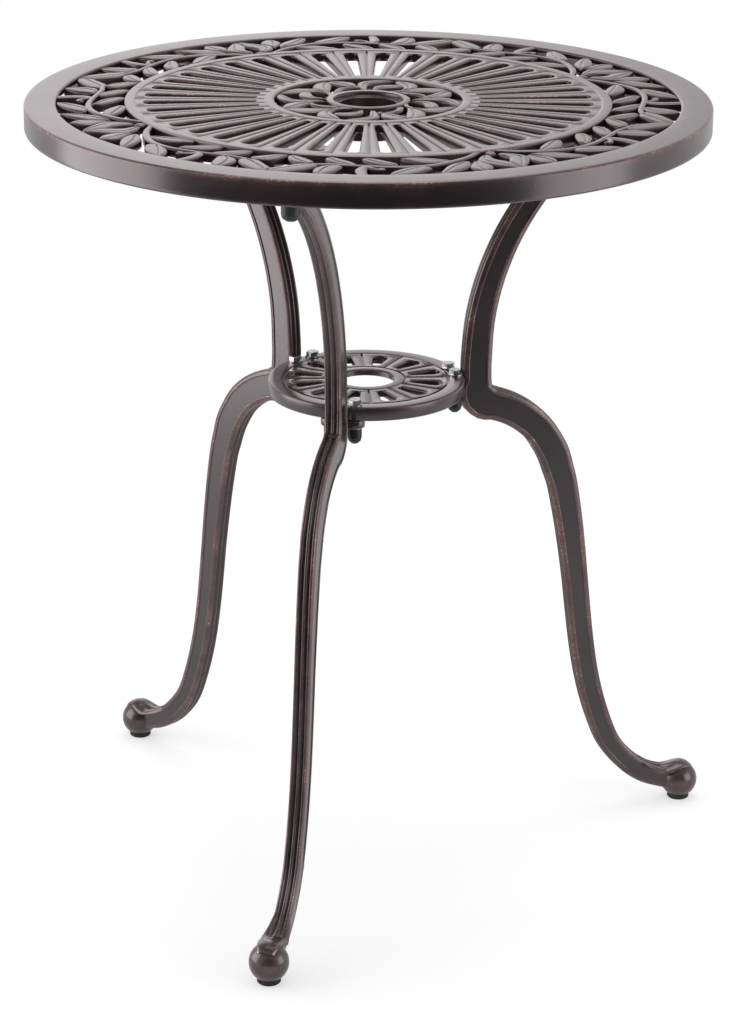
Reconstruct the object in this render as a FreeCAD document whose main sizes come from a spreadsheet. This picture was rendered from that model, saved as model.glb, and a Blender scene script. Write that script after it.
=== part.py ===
import FreeCAD, Part
import math
import os
import Sketcher
from FreeCAD import Placement, Rotation, Vector

# Round cast-aluminium umbrella table with a pierced top, a small lower shelf and three scrolled legs.
# Frame: millimetres, +Z up, the origin on the floor on the umbrella pole's axis.

SIZES = {
    # Whole table
    "table_height": 700.0,
    "top_radius": 300.0,
    # Table top casting
    "skirt_height": 22.0,
    "skirt_wall": 4.5,
    "rim_width": 28.0,
    "rim_thickness": 5.0,
    "rim_edge": 2.5,
    "plate_depth": 8.0,
    "ornament_drop": 0.6,
    "mid_ring_radius": 212.8,
    "mid_ring_width": 9.8,
    "mid_ring_depth": 10.0,
    "inner_ring_radius": 91.2,
    "inner_ring_width": 9.1,
    "pole_hole_radius": 25.5,
    "hub_recess_width": 4.7,
    "hub_recess_depth": 4.0,
    "hub_wall": 6.7,
    "hub_depth": 30.0,
    "slot_outer_gap": 6.5,
    "slot_outer_width": 12.4,
    "slot_inner_gap": 6.3,
    "slot_inner_width": 5.8,
    "spoke_count": 40,
    "groove_width": 1.4,
    "groove_depth": 1.4,
    "pattern_turn": 27.5,
    "pattern_repeats": 4,
    "stem_width": 5.0,
    "boss_radius": 10.5,
    # Lower shelf casting
    "shelf_top_height": 444.5,
    "shelf_radius": 88.0,
    "shelf_skirt": 12.5,
    "shelf_plate": 6.0,
    "shelf_wall": 5.0,
    "shelf_edge": 1.5,
    "shelf_hub_width": 8.9,
    "shelf_band_width": 13.4,
    "shelf_slot_outer_gap": 5.1,
    "shelf_slot_outer_width": 13.0,
    "shelf_slot_inner_gap": 5.1,
    "shelf_slot_inner_width": 6.6,
    "shelf_panel_count": 12,
    "shelf_turn": 3.5,
    # Legs
    "leg_turn": 15.4,
    "leg_width": 15.4,
    "leg_head_depth": 21.0,
    "leg_waist_depth": 26.5,
    "leg_knee_depth": 29.5,
    "leg_shin_depth": 22.8,
    "leg_ankle_depth": 19.5,
    "leg_shelf_gap": 1.75,
    "leg_head_inset": 60.0,
    "leg_waist_rise": 10.0,
    "elbow_drop": 8.5,
    "elbow_radius": 26.0,
    "elbow_turn": 70.0,
    "elbow_fill": 6.0,
    "foot_circle_radius": 313.4,
    "ball_radius": 17.4,
    "ball_flat_drop": 12.5,
    "petal_thickness": 1.5,
    "petal_width": 28.0,
    "petal_length": 40.0,
    "flute_depth": 1.5,
    "head_plate_thickness": 8.0,
    "head_plate_width": 25.0,
    "head_plate_gap": 2.0,
    "ear_thickness": 7.0,
    "ear_lobe_diameter": 18.0,
    "ear_neck_width": 13.0,
    # Bolts that hold the legs to the top
    "bolt_diameter": 8.0,
    "bolt_hole_clearance": 0.5,
    "thread_clearance": 0.05,
    "head_flats": 13.0,
    "head_height": 5.3,
    "washer_diameter": 16.0,
    "washer_thickness": 1.6,
    "washer_bore_clearance": 0.2,
    "bolt_thread_grip": 10.0,
    "thread_runout": 2.0,
    "head_bolt_inset": 54.0,
    "head_bolt_spacing": 80.0,
    "head_cap_wall": 0.6,
    "head_cap_crown": 9.3,
    "head_cap_flange": 2.4,
    "head_cap_flange_wall": 1.7,
    "cap_clearance": 0.1,
    "cap_end_room": 0.3,
    # Bolts that hold the shelf to the legs
    "shelf_bolt_diameter": 6.0,
    "shelf_bolt_hole_clearance": 0.3,
    "shelf_bolt_inset": 8.0,
    "shelf_bolt_spread": 10.8,
    "shelf_bolt_tail": 3.0,
    "shelf_head_flats": 10.0,
    "shelf_head_height": 4.2,
    "shelf_washer_diameter": 12.6,
    "shelf_washer_thickness": 1.2,
    "nut_flange_lip": 0.1,
    "nut_flange_thickness": 1.3,
    "nut_height": 6.0,
    "nut_cap_wall": 0.45,
    "nut_cap_crown": 6.4,
    # Levelling feet
    "pad_diameter": 20.6,
    "pad_height": 6.0,
    "pad_recess_depth": 3.0,
    "pad_gap": 0.2,
    "stud_head_diameter": 13.6,
    "stud_head_height": 2.6,
    "stud_length": 19.0,
}

doc = FreeCAD.newDocument("umbrella_table")
sheet = doc.addObject("Spreadsheet::Sheet", "Sizes")
for row, (alias, value) in enumerate(SIZES.items(), start=1):
    sheet.set(f"A{row}", alias)
    sheet.set(f"B{row}", str(value))
    sheet.setAlias(f"B{row}", alias)
doc.recompute()


class Formula:
    """A number together with the sheet expression that gives it."""

    def __init__(self, value, text):
        self.value = value
        self.text = text

    @staticmethod
    def of(other):
        return other if isinstance(other, Formula) else Formula(float(other), f"{float(other):.6f}")

    def __add__(self, other):
        other = Formula.of(other)
        return Formula(self.value + other.value, f"({self.text} + {other.text})")

    def __sub__(self, other):
        other = Formula.of(other)
        return Formula(self.value - other.value, f"({self.text} - {other.text})")

    def __mul__(self, other):
        other = Formula.of(other)
        return Formula(self.value * other.value, f"({self.text} * {other.text})")

    def __truediv__(self, other):
        other = Formula.of(other)
        return Formula(self.value / other.value, f"({self.text} / {other.text})")


def size(alias):
    return Formula(float(sheet.get(alias)), f"Sizes.{alias}")


def number(alias):
    return float(sheet.get(alias))


# Levels and radii that several pieces share
top_level = size("table_height")
plate_underside = top_level - size("plate_depth")
skirt_bottom = top_level - size("skirt_height")
rim_inner_radius = size("top_radius") - size("rim_width")
mid_ring_inner = size("mid_ring_radius") - size("mid_ring_width")
inner_ring_inner = size("inner_ring_radius") - size("inner_ring_width")
hub_recess_radius = size("pole_hole_radius") + size("hub_recess_width")
hub_radius = hub_recess_radius + size("hub_wall")
head_plate_top = skirt_bottom - size("head_plate_gap")
head_plate_bottom = head_plate_top - size("head_plate_thickness")
head_bolt_outer = size("top_radius") - size("head_bolt_inset")
HEAD_BOLT_ROWS = {"inner": head_bolt_outer - size("head_bolt_spacing"), "outer": head_bolt_outer}
head_radius = size("top_radius") - size("leg_head_inset")
shelf_underside = size("shelf_top_height") - size("shelf_plate")
shelf_hub_radius = size("pole_hole_radius") + size("shelf_hub_width")
shelf_band_radius = size("shelf_radius") - size("shelf_band_width")
shelf_bolt_row = size("shelf_radius") - size("shelf_bolt_inset")
waist_radius = size("shelf_radius") + size("leg_shelf_gap") + size("leg_waist_depth") / 2
ear_top = size("shelf_top_height") - size("shelf_skirt")
ear_bottom = ear_top - size("ear_thickness")
bolt_radius = size("bolt_diameter") / 2
hole_radius = bolt_radius + size("bolt_hole_clearance")
tapped_radius = bolt_radius + size("thread_clearance")
shelf_bolt_half = size("shelf_bolt_diameter") / 2
shelf_hole_half = shelf_bolt_half + size("shelf_bolt_hole_clearance")
lobe_radius = size("ear_lobe_diameter") / 2
ball_flat_level = size("pad_height") + size("pad_gap")
ball_level = ball_flat_level + size("ball_flat_drop")
head_cap_room = size("washer_thickness") + size("head_height") + size("cap_end_room")
nut_corner = size("shelf_head_flats") / math.sqrt(3.0)
nut_cap_radius = nut_corner + size("cap_clearance") + size("nut_cap_wall")
nut_flange_radius = nut_cap_radius + size("nut_flange_lip")
LEG_NAMES = ("right", "left", "front")

# How far a hole's cutter reaches past each face
CUT_MARGIN = 1.0


def leg_azimuth(index):
    return number("leg_turn") + 360.0 / len(LEG_NAMES) * index


# Sketch and body helpers
def origin_feature(body, role):
    return [feature for feature in body.Origin.OriginFeatures if feature.Role == role][0]


def new_body(label):
    body = doc.addObject("PartDesign::Body", label + "_body")
    body.Label = label
    return body


def new_sketch(body, name, role, level=None):
    sketch = body.newObject("Sketcher::SketchObject", name)
    sketch.AttachmentSupport = (origin_feature(body, role), [""])
    sketch.MapMode = "FlatFace"
    if level is not None:
        sketch.AttachmentOffset = Placement(Vector(0, 0, level.value), Rotation())
        sketch.setExpression("AttachmentOffset.Base.z", level.text)
    return sketch


def place_point(sketch, edge, end, across, along):
    """Fix a sketch point at two formulas; a zero puts it on the sketch's axis."""
    for name, formula, axis in (("DistanceX", across, -2), ("DistanceY", along, -1)):
        formula = Formula.of(formula)
        if formula.value == 0:
            sketch.addConstraint(Sketcher.Constraint("PointOnObject", edge, end, axis))
            continue
        index = sketch.addConstraint(Sketcher.Constraint(name, -1, 1, edge, end, formula.value))
        sketch.setExpression(f"Constraints[{index}]", formula.text)


def outline_sketch(body, name, role, corners, level=None):
    """A closed straight-sided outline whose corners are bound to the sheet."""
    sketch = new_sketch(body, name, role, level)
    values = [Vector(Formula.of(x).value, Formula.of(y).value, 0) for x, y in corners]
    count = len(corners)
    for index in range(count):
        sketch.addGeometry(Part.LineSegment(values[index], values[(index + 1) % count]), False)
    for index in range(count):
        sketch.addConstraint(Sketcher.Constraint("Coincident", index, 2, (index + 1) % count, 1))
    for index, (across, along) in enumerate(corners):
        place_point(sketch, index, 1, across, along)
    return sketch


def turned(body, name, corners):
    """Turn an outline of (radius, height) corners about the body's Z axis."""
    sketch = outline_sketch(body, name + "_outline", "XZ_Plane", corners)
    feature = body.newObject("PartDesign::Revolution", name)
    feature.Profile = sketch
    feature.ReferenceAxis = (sketch, ["V_Axis"])
    feature.Angle = 360
    doc.recompute()
    return feature


def polar_pattern(body, name, feature, count):
    """Repeat a cut round the body's Z axis and make the pattern the body's result."""
    pattern = body.newObject("PartDesign::PolarPattern", name)
    pattern.Originals = [feature]
    pattern.Axis = (origin_feature(body, "Z_Axis"), [""])
    pattern.Angle = 360
    pattern.Occurrences = int(count.value)
    pattern.setExpression("Occurrences", count.text)
    body.Tip = pattern
    doc.recompute()
    return pattern


def slot_pattern(body, name, inner_end, inner_width, outer_end, outer_width, count):
    """Cut tapered slots with round ends through the body, evenly spaced, the first along +X."""
    near_radius = inner_width / 2
    far_radius = outer_width / 2
    near_centre = inner_end + near_radius
    far_centre = outer_end - far_radius
    sketch = new_sketch(body, name + "_outline", "XY_Plane")
    tilt = math.acos((near_radius.value - far_radius.value) / (far_centre.value - near_centre.value))
    near_x = near_centre.value + near_radius.value * math.cos(tilt)
    near_y = near_radius.value * math.sin(tilt)
    far_x = far_centre.value + far_radius.value * math.cos(tilt)
    far_y = far_radius.value * math.sin(tilt)
    up = Vector(0, 0, 1)
    far_circle = Part.Circle(Vector(far_centre.value, 0, 0), up, far_radius.value)
    near_circle = Part.Circle(Vector(near_centre.value, 0, 0), up, near_radius.value)
    sketch.addGeometry(Part.ArcOfCircle(far_circle, -tilt, tilt), False)
    sketch.addGeometry(Part.ArcOfCircle(near_circle, tilt, 2 * math.pi - tilt), False)
    sketch.addGeometry(Part.LineSegment(Vector(far_x, far_y, 0), Vector(near_x, near_y, 0)), False)
    sketch.addGeometry(Part.LineSegment(Vector(near_x, -near_y, 0), Vector(far_x, -far_y, 0)), False)
    for first, first_end, second, second_end in ((0, 2, 2, 1), (2, 2, 1, 1), (1, 2, 3, 1), (3, 2, 0, 1)):
        sketch.addConstraint(Sketcher.Constraint("Tangent", first, first_end, second, second_end))
    place_point(sketch, 1, 3, near_centre, 0)
    place_point(sketch, 0, 3, far_centre, 0)
    for edge, radius in ((1, near_radius), (0, far_radius)):
        index = sketch.addConstraint(Sketcher.Constraint("Radius", edge, radius.value))
        sketch.setExpression(f"Constraints[{index}]", radius.text)
    pocket = body.newObject("PartDesign::Pocket", name)
    pocket.Profile = sketch
    pocket.Type = "ThroughAll"
    pocket.Midplane = True
    doc.recompute()
    return polar_pattern(body, name + "_pattern", pocket, count)


def groove_pattern(body, name, level, inner_radius, outer_radius, count):
    """Engrave straight radial grooves in the face at a level, midway between the slots."""
    half = size("groove_width") / 2
    turn = 180.0 / count.value
    sketch = new_sketch(body, name + "_outline", "XY_Plane", level)
    sketch.AttachmentOffset = Placement(Vector(0, 0, level.value), Rotation(turn, 0, 0))
    sketch.setExpression("AttachmentOffset.Base.z", level.text)
    sketch.setExpression("AttachmentOffset.Rotation.Angle", f"180 deg / {count.text}")
    corners = [(inner_radius, half * -1), (outer_radius, half * -1),
               (outer_radius, half), (inner_radius, half)]
    values = [Vector(x.value, y.value, 0) for x, y in corners]
    for index in range(4):
        sketch.addGeometry(Part.LineSegment(values[index], values[(index + 1) % 4]), False)
    for index in range(4):
        sketch.addConstraint(Sketcher.Constraint("Coincident", index, 2, (index + 1) % 4, 1))
    for index, kind in enumerate(("Horizontal", "Vertical", "Horizontal")):
        sketch.addConstraint(Sketcher.Constraint(kind, index))
    sketch.addConstraint(Sketcher.Constraint("Symmetric", 0, 1, 2, 2, -1))
    width = sketch.addConstraint(Sketcher.Constraint("DistanceY", 0, 1, 2, 2, size("groove_width").value))
    sketch.setExpression(f"Constraints[{width}]", size("groove_width").text)
    for edge, radius in ((0, inner_radius), (1, outer_radius)):
        index = sketch.addConstraint(Sketcher.Constraint("DistanceX", -1, 1, edge, 1, radius.value))
        sketch.setExpression(f"Constraints[{index}]", radius.text)
    pocket = body.newObject("PartDesign::Pocket", name)
    pocket.Profile = sketch
    pocket.setExpression("Length", size("groove_depth").text)
    doc.recompute()
    return polar_pattern(body, name + "_pattern", pocket, count)


# Part primitives bound to the sheet
def cylinder(name, radius, height, bottom, centre=(0.0, 0.0)):
    solid = doc.addObject("Part::Cylinder", name)
    solid.setExpression("Radius", Formula.of(radius).text)
    solid.setExpression("Height", Formula.of(height).text)
    solid.setExpression("Placement.Base.x", Formula.of(centre[0]).text)
    solid.setExpression("Placement.Base.y", Formula.of(centre[1]).text)
    solid.setExpression("Placement.Base.z", Formula.of(bottom).text)
    return solid


def hexagon(name, flats, height, bottom):
    solid = doc.addObject("Part::Prism", name)
    solid.Polygon = 6
    solid.setExpression("Circumradius", (flats / math.sqrt(3.0)).text)
    solid.setExpression("Height", Formula.of(height).text)
    solid.setExpression("Placement.Base.z", Formula.of(bottom).text)
    return solid


def box(name, low, high):
    """A block between two corners, each a triple of formulas."""
    solid = doc.addObject("Part::Box", name)
    for side, first, last in zip(("Length", "Width", "Height"), low, high):
        solid.setExpression(side, (Formula.of(last) - first).text)
    for axis, first in zip("xyz", low):
        solid.setExpression(f"Placement.Base.{axis}", Formula.of(first).text)
    return solid


def joined(name, pieces):
    union = doc.addObject("Part::MultiFuse", name)
    union.Shapes = pieces
    union.Refine = True
    return union


def cut(name, base, tools):
    """The base without the tools; several tools are grouped first."""
    tool = tools[0]
    if len(tools) > 1:
        tool = doc.addObject("Part::MultiFuse", name + "_tools")
        tool.Shapes = tools
    result = doc.addObject("Part::Cut", name)
    result.Base = base
    result.Tool = tool
    result.Refine = True
    return result


def at_azimuth(radius, side, degrees):
    """A point at a radius and a sideways distance, turned about the pole's axis."""
    turn = math.radians(degrees)
    x = radius * math.cos(turn) - side * math.sin(turn)
    y = radius * math.sin(turn) + side * math.cos(turn)
    return x, y


def turn_about_pole(piece, degrees):
    """Turn a finished piece about the pole's axis, bound to the sheet."""
    piece.Placement = Placement(Vector(0, 0, 0), Rotation(degrees.value, 0, 0))
    piece.setExpression("Placement.Rotation.Angle", f"{degrees.text} * 1 deg")


# Leaf-scroll ornament, drawn flat in one quarter and repeated round the top.
# A place is the turn from the repeat's axis, in ninetieths of the repeat, and the share of the band's
# width from its inner ring.
# A leaf has a base, a middle and a tip on its midrib, and its greatest width.
FRIEZE_HALF = {
    "crown": ((2.0, 0.06), (2.7, 0.53), (0.1, 1.02), 13.0),
    "first": ((4.9, 0.28), (6.4, 0.72), (6.9, 1.02), 13.5),
    "second": ((6.0, 0.27), (10.9, 0.70), (14.6, 1.03), 13.0),
    "third": ((17.8, 0.50), (20.0, 0.74), (23.4, 1.04), 19.0),
    "fourth": ((33.7, 0.44), (34.9, 0.74), (35.9, 1.03), 16.0),
    "flare": ((35.6, 0.43), (40.7, 0.63), (45.0, 1.04), 16.5),
    "inner_first": ((10.0, 0.27), (15.6, 0.22), (20.2, -0.03), 17.0),
    "inner_second": ((21.4, 0.47), (25.3, 0.22), (28.6, -0.03), 14.0),
    "inner_third": ((30.8, 0.44), (33.6, 0.22), (36.3, -0.03), 14.0),
    "inner_fourth": ((39.2, 0.42), (41.9, 0.22), (44.9, -0.03), 14.0),
}
FRIEZE_BANDS = {
    "stem": [(2.6, -0.03), (5.8, 0.17), (8.6, 0.29), (12.2, 0.42), (16.2, 0.51), (20.1, 0.54),
             (24.0, 0.52), (28.0, 0.47), (32.0, 0.43), (36.2, 0.43), (39.0, 0.47)],
    "curl": [(27.6, 0.48), (28.7, 0.66), (28.9, 0.82), (27.6, 1.03)],
    "hook": [(28.9, 0.74), (27.0, 0.74), (25.2, 0.64)],
}
BAND_WIDTHS = {"stem": 1.0, "curl": 1.6, "hook": 0.7, "sweep": 0.9}
FRIEZE_SPINE = ((0.0, 0.56), (0.0, 0.78), (0.0, 1.04), 9.0)
FRIEZE_KNOTS = [(0.0, 0.03, 6.0), (25.0, 0.62, 2.6)]
ROSETTE_QUARTER = {
    "fall": ((22.0, 0.12), (9.5, 0.60), (-0.4, 1.03), 13.0),
    "rise": ((22.5, 0.16), (30.5, 0.70), (45.0, 1.03), 12.0),
    "hook": ((56.0, -0.04), (54.0, 0.40), (37.0, 0.62), 9.0),
    "plume": ((68.0, -0.04), (67.0, 0.66), (46.0, 1.03), 10.0),
    "side": ((75.0, 0.34), (81.0, 0.68), (89.4, 1.03), 13.0),
    "cradle": ((75.5, 0.34), (94.0, 0.24), (112.0, 0.06), 7.5),
}
ROSETTE_BANDS = {"sweep": [(36.0, -0.06), (28.0, 0.10), (23.0, 0.24)]}
ROSETTE_KNOTS = [(73.5, 0.36, 3.6)]
LEAF_PROFILE = [(0.0, 0.42), (0.18, 0.80), (0.42, 1.0), (0.72, 0.74), (0.9, 0.36)]


class Band:
    """The ring-shaped space between two rings of the top that an ornament fills."""

    def __init__(self, inner_radius, outer_radius):
        self.inner_radius = inner_radius
        self.outer_radius = outer_radius
        self.turn_step = 2 * math.pi / int(number("pattern_repeats")) / 90

    def point(self, place, mirror=1):
        radius = self.inner_radius + (self.outer_radius - self.inner_radius) * place[1]
        turn = self.turn_step * place[0] * mirror
        return Vector(radius * math.cos(turn), radius * math.sin(turn), 0)


def interpolated(points):
    curve = Part.BSplineCurve()
    curve.interpolate(points)
    return curve


def side_points(spine, shares, half_widths, side):
    """Points beside a spine curve at shares of its length."""
    first, last = spine.FirstParameter, spine.LastParameter
    points = []
    for share, half_width in zip(shares, half_widths):
        parameter = first + (last - first) * share
        tangent = spine.tangent(parameter)[0]
        normal = Vector(-tangent.y, tangent.x, 0) * side
        points.append(spine.value(parameter) + normal * half_width)
    return points


def leaf_face(band, leaf, mirror=1):
    """A pointed leaf as a flat face."""
    base, middle, tip, width = leaf
    spine = interpolated([band.point(place, mirror) for place in (base, middle, tip)])
    shares = [share for share, _ in LEAF_PROFILE]
    halves = [width / 2 * factor for _, factor in LEAF_PROFILE]
    end = spine.value(spine.LastParameter)
    left = side_points(spine, shares, halves, 1) + [end]
    right = side_points(spine, shares, halves, -1) + [end]
    edges = [
        interpolated(left).toShape(),
        interpolated(right[::-1]).toShape(),
        Part.LineSegment(right[0], left[0]).toShape(),
    ]
    return Part.Face(Part.Wire(edges))


def band_face(band, places, width, mirror=1):
    """A stem of one width along a curve, as a flat face."""
    spine = interpolated([band.point(place, mirror) for place in places])
    shares = [index / (2 * len(places)) for index in range(2 * len(places) + 1)]
    halves = [width / 2] * len(shares)
    left = side_points(spine, shares, halves, 1)
    right = side_points(spine, shares, halves, -1)
    edges = [
        interpolated(left).toShape(),
        Part.LineSegment(left[-1], right[-1]).toShape(),
        interpolated(right[::-1]).toShape(),
        Part.LineSegment(right[0], left[0]).toShape(),
    ]
    return Part.Face(Part.Wire(edges))


def knot_face(band, turn, share, radius, mirror=1):
    circle = Part.Circle(band.point((turn, share), mirror), Vector(0, 0, 1), radius)
    return Part.Face(Part.Wire(circle.toShape()))


def fused(shapes):
    return shapes[0].multiFuse(shapes[1:]).removeSplitter()


def ornament_shape():
    """The frieze and the rosette as one plate with its openings."""
    frieze = Band(number("mid_ring_radius"), rim_inner_radius.value)
    rosette = Band(hub_radius.value, inner_ring_inner.value)
    stem_width = number("stem_width")
    quarter = []
    for mirror in (1, -1):
        quarter += [leaf_face(frieze, leaf, mirror) for leaf in FRIEZE_HALF.values()]
        for name, places in FRIEZE_BANDS.items():
            quarter.append(band_face(frieze, places, stem_width * BAND_WIDTHS[name], mirror))
        quarter += [knot_face(frieze, *knot, mirror) for knot in FRIEZE_KNOTS if knot[0] or mirror > 0]
    quarter.append(leaf_face(frieze, FRIEZE_SPINE))
    quarter += [leaf_face(rosette, leaf) for leaf in ROSETTE_QUARTER.values()]
    for name, places in ROSETTE_BANDS.items():
        quarter.append(band_face(rosette, places, stem_width * BAND_WIDTHS[name]))
    quarter += [knot_face(rosette, *knot) for knot in ROSETTE_KNOTS]
    lift = Vector(0, 0, number("plate_depth") - number("ornament_drop"))
    quarter_plate = fused([face.extrude(lift) for face in quarter])
    repeats = int(number("pattern_repeats"))
    copies = []
    for index in range(repeats):
        turned_copy = quarter_plate.copy()
        turned_copy.rotate(Vector(0, 0, 0), Vector(0, 0, 1), 360.0 / repeats * index)
        copies.append(turned_copy)
    plate = fused(copies)
    plate.translate(Vector(0, 0, plate_underside.value))
    plate.rotate(Vector(0, 0, 0), Vector(0, 0, 1), number("pattern_turn"))
    return plate


# Table top
def build_table_top():
    rim = new_body("top_rim")
    edge = size("rim_edge")
    outer = size("top_radius")
    turned(rim, "rim_turning", [
        (rim_inner_radius, top_level - size("rim_thickness")),
        (rim_inner_radius, top_level),
        (outer - edge, top_level),
        (outer - edge * 0.3, top_level - edge * 0.3),
        (outer, top_level - edge),
        (outer, skirt_bottom),
        (outer - size("skirt_wall"), skirt_bottom),
        (outer - size("skirt_wall"), top_level - size("rim_thickness")),
    ])

    spokes = new_body("top_spokes")
    panel_top = top_level - size("ornament_drop")
    groove = size("groove_width")
    groove_floor = top_level - size("groove_depth") * 2
    turned(spokes, "spoke_turning", [
        (inner_ring_inner, plate_underside),
        (inner_ring_inner, top_level),
        (size("inner_ring_radius"), top_level),
        (size("inner_ring_radius"), groove_floor),
        (size("inner_ring_radius") + groove, groove_floor),
        (size("inner_ring_radius") + groove, panel_top),
        (mid_ring_inner - groove, panel_top),
        (mid_ring_inner - groove, groove_floor),
        (mid_ring_inner, groove_floor),
        (mid_ring_inner, top_level),
        (size("mid_ring_radius"), top_level),
        (size("mid_ring_radius"), top_level - size("mid_ring_depth")),
        (mid_ring_inner, top_level - size("mid_ring_depth")),
        (mid_ring_inner, plate_underside),
    ])
    slot_pattern(spokes, "spoke_slot",
                 size("inner_ring_radius") + size("slot_inner_gap"), size("slot_inner_width"),
                 mid_ring_inner - size("slot_outer_gap"), size("slot_outer_width"), size("spoke_count"))
    groove_pattern(spokes, "spoke_groove", panel_top, size("inner_ring_radius") + groove * 0.5,
                   mid_ring_inner - groove * 0.5, size("spoke_count"))
    turn_about_pole(spokes, size("pattern_turn") + Formula.of(180) / size("spoke_count"))

    hub = new_body("top_hub")
    recess_level = top_level - size("hub_recess_depth")
    hub_bottom = top_level - size("hub_depth")
    turned(hub, "hub_turning", [
        (size("pole_hole_radius"), hub_bottom),
        (size("pole_hole_radius"), recess_level),
        (hub_recess_radius, recess_level),
        (hub_recess_radius, top_level),
        (hub_radius, top_level),
        (hub_radius, hub_bottom),
    ])

    ornament = doc.addObject("Part::Feature", "ornament")
    ornament.Shape = ornament_shape()

    pieces = [rim, spokes, hub, ornament]
    tapped_holes = []
    boss_overlap = 3.0
    boss_height = plate_underside + boss_overlap - head_plate_top
    for index, name in enumerate(LEG_NAMES):
        for place, row in HEAD_BOLT_ROWS.items():
            centre = at_azimuth(row.value, 0, leg_azimuth(index))
            boss = cylinder(f"boss_{name}_{place}", size("boss_radius"), boss_height, head_plate_top, centre)
            pieces.append(boss)
            depth = size("bolt_thread_grip") + size("thread_runout")
            hole = cylinder(f"tapped_{name}_{place}", tapped_radius, depth, head_plate_top, centre)
            tapped_holes.append(hole)
    blank = joined("top_blank", pieces)
    top = cut("table_top_casting", blank, tapped_holes)
    top.Label = "table_top"
    return top


# Lower shelf
def build_lower_shelf():
    plate = new_body("shelf_plate_body")
    outer = size("shelf_radius")
    top = size("shelf_top_height")
    bottom = top - size("shelf_skirt")
    bevel = size("shelf_edge")
    groove = size("groove_width")
    groove_floor = top - size("groove_depth")
    turned(plate, "shelf_turning", [
        (size("pole_hole_radius"), shelf_underside),
        (size("pole_hole_radius"), top),
        (shelf_hub_radius, top),
        (shelf_hub_radius, groove_floor),
        (shelf_hub_radius + groove, groove_floor),
        (shelf_hub_radius + groove, top),
        (shelf_band_radius - groove, top),
        (shelf_band_radius - groove, groove_floor),
        (shelf_band_radius, groove_floor),
        (shelf_band_radius, top),
        (outer - bevel, top),
        (outer, top - bevel),
        (outer, bottom),
        (outer - size("shelf_wall"), bottom),
        (outer - size("shelf_wall"), shelf_underside),
    ])
    slot_pattern(plate, "shelf_slot",
                 shelf_hub_radius + size("shelf_slot_inner_gap"), size("shelf_slot_inner_width"),
                 shelf_band_radius - size("shelf_slot_outer_gap"), size("shelf_slot_outer_width"),
                 size("shelf_panel_count"))
    groove_pattern(plate, "shelf_groove", top, shelf_hub_radius + groove * 0.5,
                   shelf_band_radius - groove * 0.5, size("shelf_panel_count"))
    turn_about_pole(plate, size("shelf_turn") + Formula.of(180) / size("shelf_panel_count"))

    pieces = [plate]
    holes = []
    boss_overlap = 1.0
    boss_radius = lobe_radius - 1.5
    boss_height = shelf_underside + boss_overlap - ear_top
    hole_length = size("shelf_skirt") + CUT_MARGIN * 2
    for index, name in enumerate(LEG_NAMES):
        for bolt, side in enumerate((-1, 1), start=1):
            tag = f"{name}_{bolt}"
            centre = at_azimuth(shelf_bolt_row.value, side * number("shelf_bolt_spread"), leg_azimuth(index))
            pieces.append(cylinder(f"shelf_boss_{tag}", boss_radius, boss_height, ear_top, centre))
            holes.append(cylinder(f"shelf_hole_{tag}", shelf_hole_half, hole_length,
                                  ear_top - CUT_MARGIN, centre))
    blank = joined("shelf_blank", pieces)
    shelf = cut("lower_shelf_casting", blank, holes)
    shelf.Label = "lower_shelf"
    return shelf


# Legs
# The leg's middle line below the elbow: (share of the way out to the foot, share of the height left).
KNEE_LINE = [(0.072, 0.9865), (0.144, 0.9655), (0.210, 0.937), (0.260, 0.903), (0.300, 0.8665)]
SHIN_LINE = [(0.327, 0.827), (0.350, 0.7885), (0.381, 0.7085), (0.406, 0.628), (0.427, 0.5475)]
ANKLE_LINE = [(0.4465, 0.467), (0.468, 0.386), (0.497, 0.305), (0.5385, 0.226), (0.595, 0.1485),
              (0.636, 0.111), (0.689, 0.079), (0.750, 0.0505), (0.819, 0.0285), (0.900, 0.0135)]


def blend(first, last, share):
    return first * (1 - share) + last * share


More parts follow.
